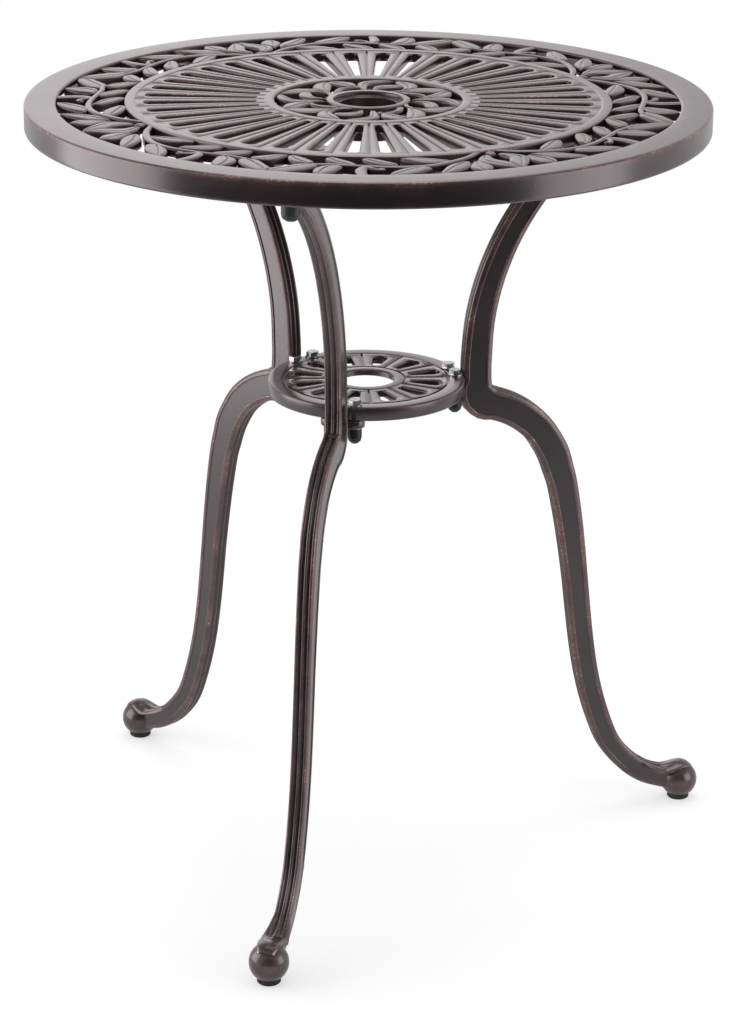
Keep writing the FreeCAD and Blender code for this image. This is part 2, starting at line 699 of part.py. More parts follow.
def leg_stations():
    """Places on the leg's middle line from head to foot: (radius, height, depth of the section)."""
    waist = waist_radius.value
    waist_level = number("shelf_top_height") + number("leg_waist_rise")
    rise = head_plate_top.value - waist_level
    reach = head_radius.value - waist
    arc_radius = (rise * rise + reach * reach) / (2 * reach)
    head_turn = math.asin(rise / arc_radius)
    run_into_plate = 7.0
    head_taper = 1.4
    over_turn = head_turn + math.radians(run_into_plate)
    waist_depth = number("leg_waist_depth")
    head_depth = number("leg_head_depth")
    stations = []
    arc_steps = 7
    for step in range(arc_steps, 0, -1):
        share = step / arc_steps
        radius = waist + arc_radius * (1 - math.cos(over_turn * share))
        level = waist_level + arc_radius * math.sin(over_turn * share)
        stations.append((radius, level, blend(waist_depth, head_depth, min(1.0, share * head_taper))))
    elbow_level = number("shelf_top_height") - number("elbow_drop")
    stations.append((waist, waist_level, waist_depth))
    stations.append((waist, elbow_level, waist_depth))
    elbow_radius = number("elbow_radius")
    elbow_steps = 4
    for step in range(1, elbow_steps + 1):
        share = step / elbow_steps
        turn = math.radians(number("elbow_turn")) * share
        fill = number("elbow_fill") * math.sin(math.pi * share)
        radius = waist + elbow_radius - (elbow_radius + fill / 2) * math.cos(turn)
        level = elbow_level - (elbow_radius + fill / 2) * math.sin(turn)
        stations.append((radius, level, blend(waist_depth, number("leg_knee_depth"), share) + fill))
    out_start, level_start, _ = stations[-1]
    out_length = number("foot_circle_radius") - out_start
    fall = level_start - ball_level.value
    runs = ((KNEE_LINE, "leg_knee_depth", "leg_knee_depth"),
            (SHIN_LINE, "leg_knee_depth", "leg_shin_depth"),
            (ANKLE_LINE, "leg_shin_depth", "leg_ankle_depth"))
    for line, first_depth, last_depth in runs:
        for index, (out_share, level_share) in enumerate(line, start=1):
            radius = out_start + out_length * out_share
            level = ball_level.value + fall * level_share
            depth = blend(number(first_depth), number(last_depth), index / len(line))
            stations.append((radius, level, depth))
    stations.append((number("foot_circle_radius"), ball_level.value, number("leg_ankle_depth")))
    return stations


def leg_section(centre, tangent, depth):
    """The fluted section across the leg, square to its middle line."""
    half_width = number("leg_width") / 2
    half_depth = depth / 2
    flute = number("flute_depth")
    bead = 2.4
    shoulder_drop = 0.4
    side_recess = 0.9
    outward = Vector(0, 1, 0).cross(tangent)
    outward.normalize()
    side = Vector(0, 1, 0)
    quarter = [
        (0.0, half_depth),
        (half_width * 0.12, half_depth - flute * 0.2),
        (half_width * 0.34, half_depth - flute),
        (half_width * 0.56, half_depth - flute * 0.2),
        (half_width * 0.72, half_depth - shoulder_drop),
        (half_width * 0.92, half_depth - bead * 0.9),
        (half_width, half_depth - bead * 1.8),
        (half_width - side_recess, half_depth - bead * 2.4),
    ]
    first_half = quarter + [(x, -y) for x, y in quarter[::-1]]
    outline = first_half + [(-x, y) for x, y in first_half[-2:0:-1]]
    points = [centre + side * x + outward * y for x, y in outline]
    return Part.makePolygon(points + [points[0]])


def leg_bar_shape():
    """The leg's bar from its head to the ball foot, in the XZ plane, +X outward."""
    stations = leg_stations()
    spine = interpolated([Vector(radius, 0, level) for radius, level, _ in stations])
    sections = []
    for radius, level, depth in stations:
        centre = Vector(radius, 0, level)
        tangent = spine.tangent(spine.parameter(centre))[0]
        sections.append(leg_section(centre, tangent, depth))
    bar = Part.makeLoft(sections, True, False)
    span = number("top_radius") * 2
    ceiling = Part.makeBox(span, span, span, Vector(0, -span / 2, head_plate_top.value))
    return bar.cut(ceiling)


def petal_shape():
    """The petal in which the leg's upper face ends over the ball foot, in the XZ plane, +X outward."""
    reach = number("foot_circle_radius")
    length = number("petal_length")
    widths = [(-0.72, 0.42), (-0.45, 0.60), (-0.15, 0.93), (0.08, 0.98), (0.24, 0.58)]
    near = [Vector(reach + length * along, number("petal_width") / 2 * share, 0) for along, share in widths]
    far = [Vector(point.x, -point.y, 0) for point in near[::-1]]
    tip = Vector(reach + length * 0.29, 0, 0)
    outline = [interpolated(near + [tip] + far).toShape(), Part.LineSegment(far[-1], near[0]).toShape()]
    prism = Part.Face(Part.Wire(outline)).extrude(Vector(0, 0, number("ball_radius") * 3))
    prism.translate(Vector(0, 0, ball_level.value + number("ball_radius") * 0.35))
    shell_radius = number("ball_radius") + number("petal_thickness")
    shell = Part.makeSphere(shell_radius, Vector(reach, 0, ball_level.value))
    return shell.common(prism)


def shelf_ear(name):
    """The leg's ear under the shelf: a neck and a cross bar with a round lobe at each bolt."""
    thickness = size("ear_thickness")
    bolt_row = shelf_bolt_row
    spread = size("shelf_bolt_spread")
    neck_half = size("ear_neck_width") / 2
    neck = box(f"ear_neck_{name}", (bolt_row, neck_half * -1, ear_bottom),
               (waist_radius, neck_half, ear_top))
    bar = box(f"ear_bar_{name}", (bolt_row - lobe_radius, spread * -1, ear_bottom),
              (bolt_row + lobe_radius, spread, ear_top))
    lobes = []
    for lobe, side in enumerate((-1, 1), start=1):
        centre = (bolt_row, spread * side)
        lobes.append(cylinder(f"ear_lobe_{name}_{lobe}", lobe_radius, thickness, ear_bottom, centre))
    return [neck, bar, *lobes]


def build_leg(index):
    name = LEG_NAMES[index]
    bar = doc.addObject("Part::Feature", f"leg_bar_{name}")
    bar.Shape = leg_bar_shape()

    ball = doc.addObject("Part::Sphere", f"ball_{name}")
    ball.setExpression("Radius", size("ball_radius").text)
    ball.setExpression("Placement.Base.x", size("foot_circle_radius").text)
    ball.setExpression("Placement.Base.z", ball_level.text)

    plate_half = size("head_plate_width") / 2
    thickness = size("head_plate_thickness")
    web = box(f"head_plate_{name}", (HEAD_BOLT_ROWS["inner"], plate_half * -1, head_plate_bottom),
              (HEAD_BOLT_ROWS["outer"], plate_half, head_plate_top))
    ends = [cylinder(f"head_end_{name}_{place}", plate_half, thickness, head_plate_bottom, (row, 0))
            for place, row in HEAD_BOLT_ROWS.items()]

    ear = shelf_ear(name)
    petal = doc.addObject("Part::Feature", f"petal_{name}")
    petal.Shape = petal_shape()
    solid = joined(f"leg_blank_{name}", [bar, ball, petal, web, *ends, *ear])

    clear = size("ball_radius") * 2
    tools = [box(f"foot_flat_{name}",
                 (size("foot_circle_radius") - clear, clear * -1, ball_flat_level - clear),
                 (size("foot_circle_radius") + clear, clear, ball_flat_level))]
    spot_margin = 0.6
    flange_radius = size("washer_diameter") / 2 + size("cap_clearance") + size("head_cap_flange_wall")
    spot_radius = flange_radius + spot_margin
    spot_depth = head_cap_room + size("head_cap_crown") * 2
    for place, row in HEAD_BOLT_ROWS.items():
        tools.append(cylinder(f"head_hole_{name}_{place}", hole_radius, thickness + CUT_MARGIN * 2,
                              head_plate_bottom - CUT_MARGIN, (row, 0)))
        tools.append(cylinder(f"spot_face_{name}_{place}", spot_radius, spot_depth,
                              head_plate_bottom - spot_depth, (row, 0)))
    for bolt, side in enumerate((-1, 1), start=1):
        centre = (shelf_bolt_row, size("shelf_bolt_spread") * side)
        tools.append(cylinder(f"ear_hole_{name}_{bolt}", shelf_hole_half,
                              size("ear_thickness") + CUT_MARGIN * 2, ear_bottom - CUT_MARGIN, centre))
    end_room = 1.0
    stud_depth = size("stud_length") + end_room - size("pad_gap")
    tools.append(cylinder(f"stud_hole_{name}", tapped_radius, stud_depth, ball_flat_level,
                          (size("foot_circle_radius"), 0)))
    leg = cut(f"leg_casting_{name}", solid, tools)
    leg.Label = f"leg_{name}"
    turn_about_pole(leg, size("leg_turn") + leg_azimuth(index) - number("leg_turn"))
    return leg


# Fasteners, each built standing on its own origin and then moved to its place
def hex_bolt(label, flats, head_height, shank_radius, shank_length):
    """A hexagon-head bolt: the head's bearing face at the origin, the shank along -Z."""
    chamfer_run = 1.7
    crown_share = 0.94
    head = hexagon(label + "_hexagon", flats, head_height, 0.0)
    crown = doc.addObject("Part::Cone", label + "_crown")
    crown.setExpression("Radius1", (flats / 2 + head_height * chamfer_run).text)
    crown.setExpression("Radius2", (flats / 2 * crown_share).text)
    crown.setExpression("Height", head_height.text)
    chamfered = doc.addObject("Part::MultiCommon", label + "_head")
    chamfered.Shapes = [head, crown]
    shank = cylinder(label + "_shank", shank_radius, shank_length + head_height / 2, shank_length * -1)
    bolt = joined(label + "_solid", [chamfered, shank])
    bolt.Label = label
    return bolt


def flange_nut(label):
    """A flanged hexagon nut that hangs below its bearing face at the origin."""
    height = size("nut_height")
    flange_thickness = size("nut_flange_thickness")
    flange = cylinder(label + "_flange", nut_flange_radius, flange_thickness, flange_thickness * -1)
    hex_part = hexagon(label + "_hexagon", size("shelf_head_flats"), height, height * -1)
    blank = joined(label + "_blank", [flange, hex_part])
    bore = cylinder(label + "_bore", shelf_bolt_half + size("thread_clearance"), height + CUT_MARGIN * 2,
                    height * -1 - CUT_MARGIN)
    nut = cut(label + "_solid", blank, [bore])
    nut.Label = label
    return nut


def washer(label, diameter, thickness, shank_radius):
    """A flat washer that stands on the origin, with a bore a little wider than the bolt's shank."""
    bore_radius = shank_radius + size("washer_bore_clearance")
    disc = cylinder(label + "_disc", diameter / 2, thickness, 0.0)
    bore = cylinder(label + "_bore", bore_radius, thickness + CUT_MARGIN * 2, CUT_MARGIN * -1)
    ring = cut(label + "_solid", disc, [bore])
    ring.Label = label
    return ring


def head_cap(label):
    """A domed plastic cover over a bolt head, with its open flange at the origin and its dome below."""
    body = new_body(label)
    height = head_cap_room + size("head_cap_crown")
    cavity = size("head_flats") / math.sqrt(3.0) + size("cap_clearance")
    outer = cavity + size("head_cap_wall")
    washer_room = size("washer_diameter") / 2 + size("cap_clearance")
    flange = washer_room + size("head_cap_flange_wall")
    body_corners = [
        (washer_room, 0.0),
        (flange, 0.0),
        (flange, size("head_cap_flange") * -1),
        (outer, size("head_cap_flange") * -1),
        (outer, (height - outer * 0.75) * -1),
        (outer * 0.87, (height - outer * 0.38) * -1),
        (outer * 0.5, (height - outer * 0.11) * -1),
        (0.0, height * -1),
        (0.0, head_cap_room * -1),
        (cavity, head_cap_room * -1),
        (cavity, size("washer_thickness") * -1),
        (washer_room, size("washer_thickness") * -1),
    ]
    turned(body, label + "_turning", body_corners)
    return body


def nut_cap(label):
    """A round-nosed plastic cap over the nut's hexagon and the bolt's tail."""
    body = new_body(label)
    outer = nut_cap_radius
    cavity = nut_corner + size("cap_clearance")
    nut_room = size("nut_height") - size("nut_flange_thickness") + size("cap_clearance")
    tail_room = nut_room + size("shelf_bolt_tail") + size("cap_end_room")
    height = tail_room + size("nut_cap_crown")
    bore = shelf_bolt_half + size("cap_clearance")
    turned(body, label + "_turning", [
        (cavity, 0.0),
        (outer, 0.0),
        (outer, (height - outer) * -1),
        (outer * 0.87, (height - outer * 0.5) * -1),
        (outer * 0.5, (height - outer * 0.13) * -1),
        (0.0, height * -1),
        (0.0, tail_room * -1),
        (bore, tail_room * -1),
        (bore, nut_room * -1),
        (cavity, nut_room * -1),
    ])
    return body


def foot_pad(label):
    """The round pad of a levelling foot, with the recess that holds the stud's head."""
    body = new_body(label)
    radius = size("pad_diameter") / 2
    bevel = 1.0
    recess = size("stud_head_diameter") / 2 + size("cap_clearance")
    floor = size("pad_height") - size("pad_recess_depth")
    turned(body, label + "_turning", [
        (0.0, 0.0),
        (radius - bevel, 0.0),
        (radius, bevel),
        (radius, size("pad_height")),
        (recess, size("pad_height")),
        (recess, floor),
        (0.0, floor),
    ])
    return body


def foot_stud(label):
    """The threaded stud of a levelling foot, with its round head in the pad."""
    body = new_body(label)
    floor = size("pad_height") - size("pad_recess_depth")
    shoulder = floor + size("stud_head_height")
    tip = size("pad_height") + size("stud_length")
    bevel = 1.0
    turned(body, label + "_turning", [
        (0.0, floor),
        (size("stud_head_diameter") / 2, floor),
        (size("stud_head_diameter") / 2, shoulder),
        (bolt_radius, shoulder),
        (bolt_radius, tip - bevel),
        (bolt_radius - bevel, tip),
        (0.0, tip),
    ])
    return body


def put(piece, radius, side, level, azimuth, upside_down=False):
    """Move a fastener to its place; upside down turns it over about its own X axis."""
    x, y = at_azimuth(radius, side, azimuth)
    turn = Rotation(azimuth, 0, 0)
    if upside_down:
        turn = turn.multiply(Rotation(Vector(1, 0, 0), 180))
    piece.Placement = Placement(Vector(x, y, level), turn)
    return piece


def build_head_fasteners(index):
    """Two bolts with washers and caps that hold a leg's head plate to the top."""
    name = LEG_NAMES[index]
    azimuth = leg_azimuth(index)
    thickness = size("washer_thickness")
    under_washer = (head_plate_bottom - thickness).value
    shank = thickness + size("head_plate_thickness") + size("bolt_thread_grip")
    pieces = []
    for place, row in HEAD_BOLT_ROWS.items():
        radius = row.value
        tag = f"{name}_{place}"
        bolt = hex_bolt(f"top_bolt_{tag}", size("head_flats"), size("head_height"), bolt_radius, shank)
        ring = washer(f"top_washer_{tag}", size("washer_diameter"), thickness, bolt_radius)
        pieces.append(put(bolt, radius, 0, under_washer, azimuth, True))
        pieces.append(put(ring, radius, 0, under_washer, azimuth))
        pieces.append(put(head_cap(f"top_bolt_cap_{tag}"), radius, 0, head_plate_bottom.value, azimuth))
    return pieces


def build_shelf_fasteners(index):
    """Two bolts with washers, nuts and caps that clamp the shelf to a leg's ear."""
    name = LEG_NAMES[index]
    azimuth = leg_azimuth(index)
    radius = shelf_bolt_row.value
    top = number("shelf_top_height")
    thickness = size("shelf_washer_thickness")
    shank = (thickness + size("shelf_skirt") + size("ear_thickness")
             + size("nut_height") + size("shelf_bolt_tail"))
    cap_level = (ear_bottom - size("nut_flange_thickness")).value
    pieces = []
    for place, sign in enumerate((-1, 1), start=1):
        side = sign * number("shelf_bolt_spread")
        tag = f"{name}_{place}"
        bolt = hex_bolt(f"shelf_bolt_{tag}", size("shelf_head_flats"), size("shelf_head_height"),
                        shelf_bolt_half, shank)
        ring = washer(f"shelf_washer_{tag}", size("shelf_washer_diameter"), thickness, shelf_bolt_half)
        pieces.append(put(bolt, radius, side, top + thickness.value, azimuth))
        pieces.append(put(ring, radius, side, top, azimuth))
        pieces.append(put(flange_nut(f"shelf_nut_{tag}"), radius, side, ear_bottom.value, azimuth))
        pieces.append(put(nut_cap(f"shelf_nut_cap_{tag}"), radius, side, cap_level, azimuth))
    return pieces


def build_foot(index):
    name = LEG_NAMES[index]
    azimuth = leg_azimuth(index)
    radius = number("foot_circle_radius")
    return [
        put(foot_stud(f"foot_stud_{name}"), radius, 0, 0.0, azimuth),
        put(foot_pad(f"foot_pad_{name}"), radius, 0, 0.0, azimuth),
    ]


def check_and_export(parts):
    """Stop on any failed object or bad solid, then write one STEP file for each part."""
    doc.recompute()
    failed = [item.Label for item in doc.Objects if "Invalid" in item.State or "Error" in item.State]
    if failed:
        raise RuntimeError(f"these objects failed: {failed}")
    os.makedirs("parts", exist_ok=True)
    for part in parts:
        shape = part.Shape
        if shape.isNull() or not shape.isValid() or len(shape.Solids) != 1:
            raise RuntimeError(f"{part.Label} is not one valid solid")
    for part in parts:
        part.Shape.exportStep(os.path.join("parts", part.Label + ".step"))
        print(f"{part.Label}: {part.Shape.Volume / 1000:.2f} cm3")


def main():
    parts = [build_table_top(), build_lower_shelf()]
    for index in range(len(LEG_NAMES)):
        parts.append(build_leg(index))
        parts += build_head_fasteners(index)
        parts += build_shelf_fasteners(index)
        parts += build_foot(index)
    check_and_export(parts)


main()
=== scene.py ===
"""Round cast-metal umbrella table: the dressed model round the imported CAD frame."""

import logging
import math
from bisect import bisect_left
from dataclasses import dataclass, field
from enum import Enum
from functools import reduce
from typing import Callable, Sequence

import bmesh
import bpy
from mathutils import Matrix, Vector


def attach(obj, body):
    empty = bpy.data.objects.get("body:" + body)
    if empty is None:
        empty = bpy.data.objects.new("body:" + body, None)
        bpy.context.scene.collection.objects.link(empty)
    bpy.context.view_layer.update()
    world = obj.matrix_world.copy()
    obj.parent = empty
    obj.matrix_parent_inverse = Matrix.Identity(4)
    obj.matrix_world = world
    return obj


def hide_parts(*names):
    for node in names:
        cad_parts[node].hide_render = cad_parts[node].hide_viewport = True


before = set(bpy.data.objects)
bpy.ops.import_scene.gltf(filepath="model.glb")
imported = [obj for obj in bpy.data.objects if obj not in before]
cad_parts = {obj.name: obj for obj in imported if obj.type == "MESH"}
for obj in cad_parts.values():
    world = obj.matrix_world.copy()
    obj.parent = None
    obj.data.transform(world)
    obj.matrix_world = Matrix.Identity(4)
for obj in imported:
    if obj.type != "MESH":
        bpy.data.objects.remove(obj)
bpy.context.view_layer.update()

LOG = logging.getLogger("umbrella_table")
MM = 0.001
BODY = "table"

# What several pieces share, in millimetres and degrees
POLE_HOLE = 25.5
BOLT_HOLE = 4.05
HEAD_BOLTS = (166.0, 246.0)
EAR_ROW = 80.0
EAR_SPREAD = 10.8
LEG_TURN = 15.4
LEG_STEP = 120.0

Place = tuple[float, float]
Colour = tuple[float, float, float]
Dressed = tuple[Vector, float]
Socket = bpy.types.NodeSocket
SIDEWAYS = Vector((0.0, 1.0, 0.0))
WHITE = (1.0, 1.0, 1.0, 1.0)


class LegName(Enum):
    """The three legs, in turn round the pole."""

    RIGHT = "right"
    LEFT = "left"
    FRONT = "front"

    @property
    def azimuth(self) -> float:
        """The leg's turn about the pole, in degrees."""
        return LEG_TURN + LEG_STEP * list(LegName).index(self)


class Slot(Enum):
    """The record's material slots."""

    CASTINGS = "bronze_castings"
    BOLTS = "bolts"
    NUTS = "nuts"
    BOLT_CAPS = "bolt_caps"
    NUT_CAPS = "nut_caps"
    FOOT_PADS = "foot_pads"


# Curves and surfaces
def between(first: float, last: float, share: float) -> float:
    """The value a share of the way from the first to the last."""
    return first + (last - first) * share


def clamped(value: float) -> float:
    """The value, kept from 0 to 1."""
    return max(0.0, min(1.0, value))


def bell(value: float, middle: float, width: float) -> float:
    """A smooth bump, 1 at the middle and dying away over the width."""
    return math.exp(-((value - middle) / width) ** 2)


@dataclass(frozen=True)
class RubAndHighlightBand:
    """A band of copper wear and painted highlight: how strong it is, where its middle lies and how wide it
    is.
    """

    strength: float
    middle: float
    width: float

    def at(self, distance: float) -> float:
        """How strong the copper wear and painted highlight are at a distance."""
        return self.strength * bell(distance, self.middle, self.width)


def raised(height: float) -> Vector:
    """A step straight up."""
    return Vector((0.0, 0.0, height))


def polar(degrees: float, radius: float, level: float = 0.0) -> Vector:
    """A point in millimetres from its turn about the pole, its radius and its height."""
    turn = math.radians(degrees)
    return Vector((radius * math.cos(turn), radius * math.sin(turn), level))


def turn_of(degrees: float) -> Matrix:
    """A turn about the pole."""
    return Matrix.Rotation(math.radians(degrees), 3, "Z")


def arc(centre: Place, radius: float, start: float, end: float, steps: int) -> list[Place]:
    """Points along an arc, ends included."""
    turns = [math.radians(between(start, end, step / steps)) for step in range(steps + 1)]
    return [(centre[0] + radius * math.cos(turn), centre[1] + radius * math.sin(turn)) for turn in turns]


def heading(line: Sequence[Vector], index: int) -> Vector:
    """The direction in which a line runs at one of its points."""
    return (line[min(len(line) - 1, index + 1)] - line[max(0, index - 1)]).normalized()


def walked(line: Sequence[Vector]) -> list[float]:
    """Measure how far along a polyline each of its points is.

    Args:
        line: the polyline.

    Returns:
        The walked length at each point.
    """
    lengths = [0.0]
    for first, second in zip(line, line[1:]):
        lengths.append(lengths[-1] + (second - first).length)
    return lengths


def stretch_at(lengths: Sequence[float], target: float) -> tuple[int, float]:
    """Find where a walked length falls on a polyline.

    Args:
        lengths: the walked length at each point.
        target: the length to find.

    Returns:
        The number of the stretch, and the share of it that is walked.
    """
    index = min(bisect_left(lengths, target, 1), len(lengths) - 1) - 1
    span = lengths[index + 1] - lengths[index]
    return index, clamped((target - lengths[index]) / span) if span else 0.0


def evenly(line: Sequence[Vector], count: int) -> list[Vector]:
    """Walk along a polyline in equal steps.

    Args:
        line: the polyline.
        count: how many samples to return.

    Returns:
        The samples, ends included.
    """
    lengths = walked(line)
    samples: list[Vector] = []
    for step in range(count):
        index, share = stretch_at(lengths, lengths[-1] * step / (count - 1))
        samples.append(line[index].lerp(line[index + 1], share))
    return samples


def smooth_line(points: Sequence[Vector], count: int) -> list[Vector]:
    """Sample a smooth curve through the points, evenly along its length.

    Args:
        points: the places that the curve goes through.
        count: how many samples to return, ends included.

    Returns:
        The samples, first and last point included.
    """
    knots = [points[0] * 2 - points[1], *points, points[-1] * 2 - points[-2]]
    steps = 14
    dense: list[Vector] = []
    for index in range(1, len(knots) - 2):
        a, b, c, d = knots[index - 1:index + 3]
        for step in range(steps):
            t = step / steps
            dense.append(0.5 * (2 * b + (c - a) * t + (2 * a - 5 * b + 4 * c - d) * t ** 2
                                + (3 * b - a - 3 * c + d) * t ** 3))
    dense.append(points[-1].copy())
    return evenly(dense, count)


class Surface:
    """Collects the skin of one piece in millimetres, with a value at each point for its copper wear and
    painted highlight.
    """

    def __init__(self) -> None:
        """Start with no points."""
        self.points: list[Vector] = []
        self.rub_and_highlight: list[float] = []
        self.faces: list[tuple[int, ...]] = []
        self.known: dict[tuple[float, float, float], int] = {}

    def point(self, place: Vector, rub_and_highlight: float) -> int:
        """Add a point of its own.

        Args:
            place: where it is.
            rub_and_highlight: how much copper wear and painted highlight it has, from 0 to 1.

        Returns:
            The point's number.
        """
        self.points.append(place)
        self.rub_and_highlight.append(rub_and_highlight)
        return len(self.points) - 1

    def shared(self, place: Vector, rub_and_highlight: float) -> int:
        """Add a point where there is none yet.

        Args:
            place: where it is.
            rub_and_highlight: how much copper wear and painted highlight it has, from 0 to 1.

        Returns:
            The number of the point that is there.
        """
        key = (round(place.x, 3), round(place.y, 3), round(place.z, 3))
        if key not in self.known:
            self.known[key] = self.point(place, rub_and_highlight)
        return self.known[key]

    def face(self, corners: Sequence[int]) -> None:
        """Add a face, leaving out corners that fall together.

        Args:
            corners: the numbers of its points, in order.
        """
        clean = [c for i, c in enumerate(corners) if c != corners[i - 1]]
        if len(set(clean)) >= 3 and len(set(clean)) == len(clean):
            self.faces.append(tuple(clean))

    def loft(self, loops: Sequence[Sequence[Dressed]]) -> None:
        """Skin a row of closed loops that have as many points each, and cap its ends.

        Args:
            loops: the loops, each a list of a place and its copper wear and painted highlight value.
        """
        rows = [[self.point(place, rub_and_highlight) for place, rub_and_highlight in loop] for loop in loops]
        size = len(rows[0])
        for first, second in zip(rows, rows[1:]):
            for i in range(size):
                j = (i + 1) % size
                self.face((first[i], first[j], second[j], second[i]))
        self.face(rows[0][::-1])
        self.face(rows[-1])

    def turned(self, outline: Sequence[tuple[float, float, float]], segments: int,
               centre: Place = (0.0, 0.0), closed: bool = True) -> None:
        """Turn an outline of (radius, height, copper wear and painted highlight) about a vertical axis.

        Args:
            outline: the outline, which ends on the axis if it isn't closed.
            segments: how many steps round the axis.
            centre: where the axis stands.
            closed: whether the outline's last point joins its first.
        """
        middle = Vector((*centre, 0.0))
        rows = []
        for step in range(segments):
            turn = 360.0 * step / segments
            rows.append([self.shared(middle + polar(turn, radius, level), rub_and_highlight)
                         for radius, level, rub_and_highlight in outline])
        size = len(outline)
        for index, row in enumerate(rows):
            after = rows[(index + 1) % segments]
            for i in range(size if closed else size - 1):
                j = (i + 1) % size
                self.face((row[i], after[i], after[j], row[j]))

    def moved(self, other: "Surface", place: Callable[[Vector], Vector], flip: bool = False) -> None:
        """Add a copy of another surface with each point moved.

        Args:
            other: the surface to copy.
            place: gives a point's new place.
            flip: whether the copy is mirrored, so that its faces turn round.
        """
        start = len(self.points)
        for spot, rub_and_highlight in zip(other.points, other.rub_and_highlight):
            self.point(place(spot), rub_and_highlight)
        for corners in other.faces:
            shifted = tuple(c + start for c in corners)
            self.faces.append(shifted[::-1] if flip else shifted)

    def slab(self, outline: Sequence[Place], low: float, high: float, edge: float) -> None:
        """Add a slab with softened top and bottom edges.

        Args:
            outline: the slab's outline from above, counter-clockwise.
            low: its underside.
            high: its top.
            edge: how far its edges are rounded.
        """
        count = len(outline)
        flat = [Vector((x, y, 0.0)) for x, y in outline]
        inward = []
        for index in range(count):
            ahead = (flat[(index + 1) % count] - flat[index - 1]).normalized()
            inward.append(Vector((-ahead.y, ahead.x, 0.0)))
        steps = [(1.0, 0.0), (0.3, 0.3), (0.0, 1.0)]
        rises = [(inset, low + edge * rise) for inset, rise in steps]
        rises += [(inset, high - edge * rise) for inset, rise in steps[::-1]]
        loops = []
        for inset, level in rises:
            # Softened edges get copper wear and painted highlight lines.
            rub_and_highlight = 0.8 if 0.0 < inset < 1.0 else 0.1
            loops.append([(p + n * edge * inset + raised(level), rub_and_highlight) for p, n in zip(flat, inward)])
        self.loft(loops)

    def piece(self, name: str, sharp: float = 42.0) -> bpy.types.Object:
        """Make the Blender object.

        Args:
            name: the piece's name.
            sharp: edges that turn by more degrees than this stay crisp.

        Returns:
            The new object, in metres.
        """
        mesh = bpy.data.meshes.new(name)
        mesh.from_pydata([p * MM for p in self.points], [], self.faces)
        mesh.validate()
        values = mesh.attributes.new("rub_and_highlight", "FLOAT", "POINT")
        values.data.foreach_set("value", self.rub_and_highlight)
        mesh.update()
        piece = bpy.data.objects.new(name, mesh)
        bpy.context.scene.collection.objects.link(piece)
        face_outward(mesh)
        mesh.shade_smooth()
        mesh.set_sharp_from_angle(angle=math.radians(sharp))
        return piece


def face_outward(mesh: bpy.types.Mesh) -> None:
    """Turn every shell's faces outward.

    Args:
        mesh: the mesh to put right.
    """
    work = bmesh.new()
    work.from_mesh(mesh)
    bmesh.ops.recalc_face_normals(work, faces=work.faces)
    work.to_mesh(mesh)
    work.free()


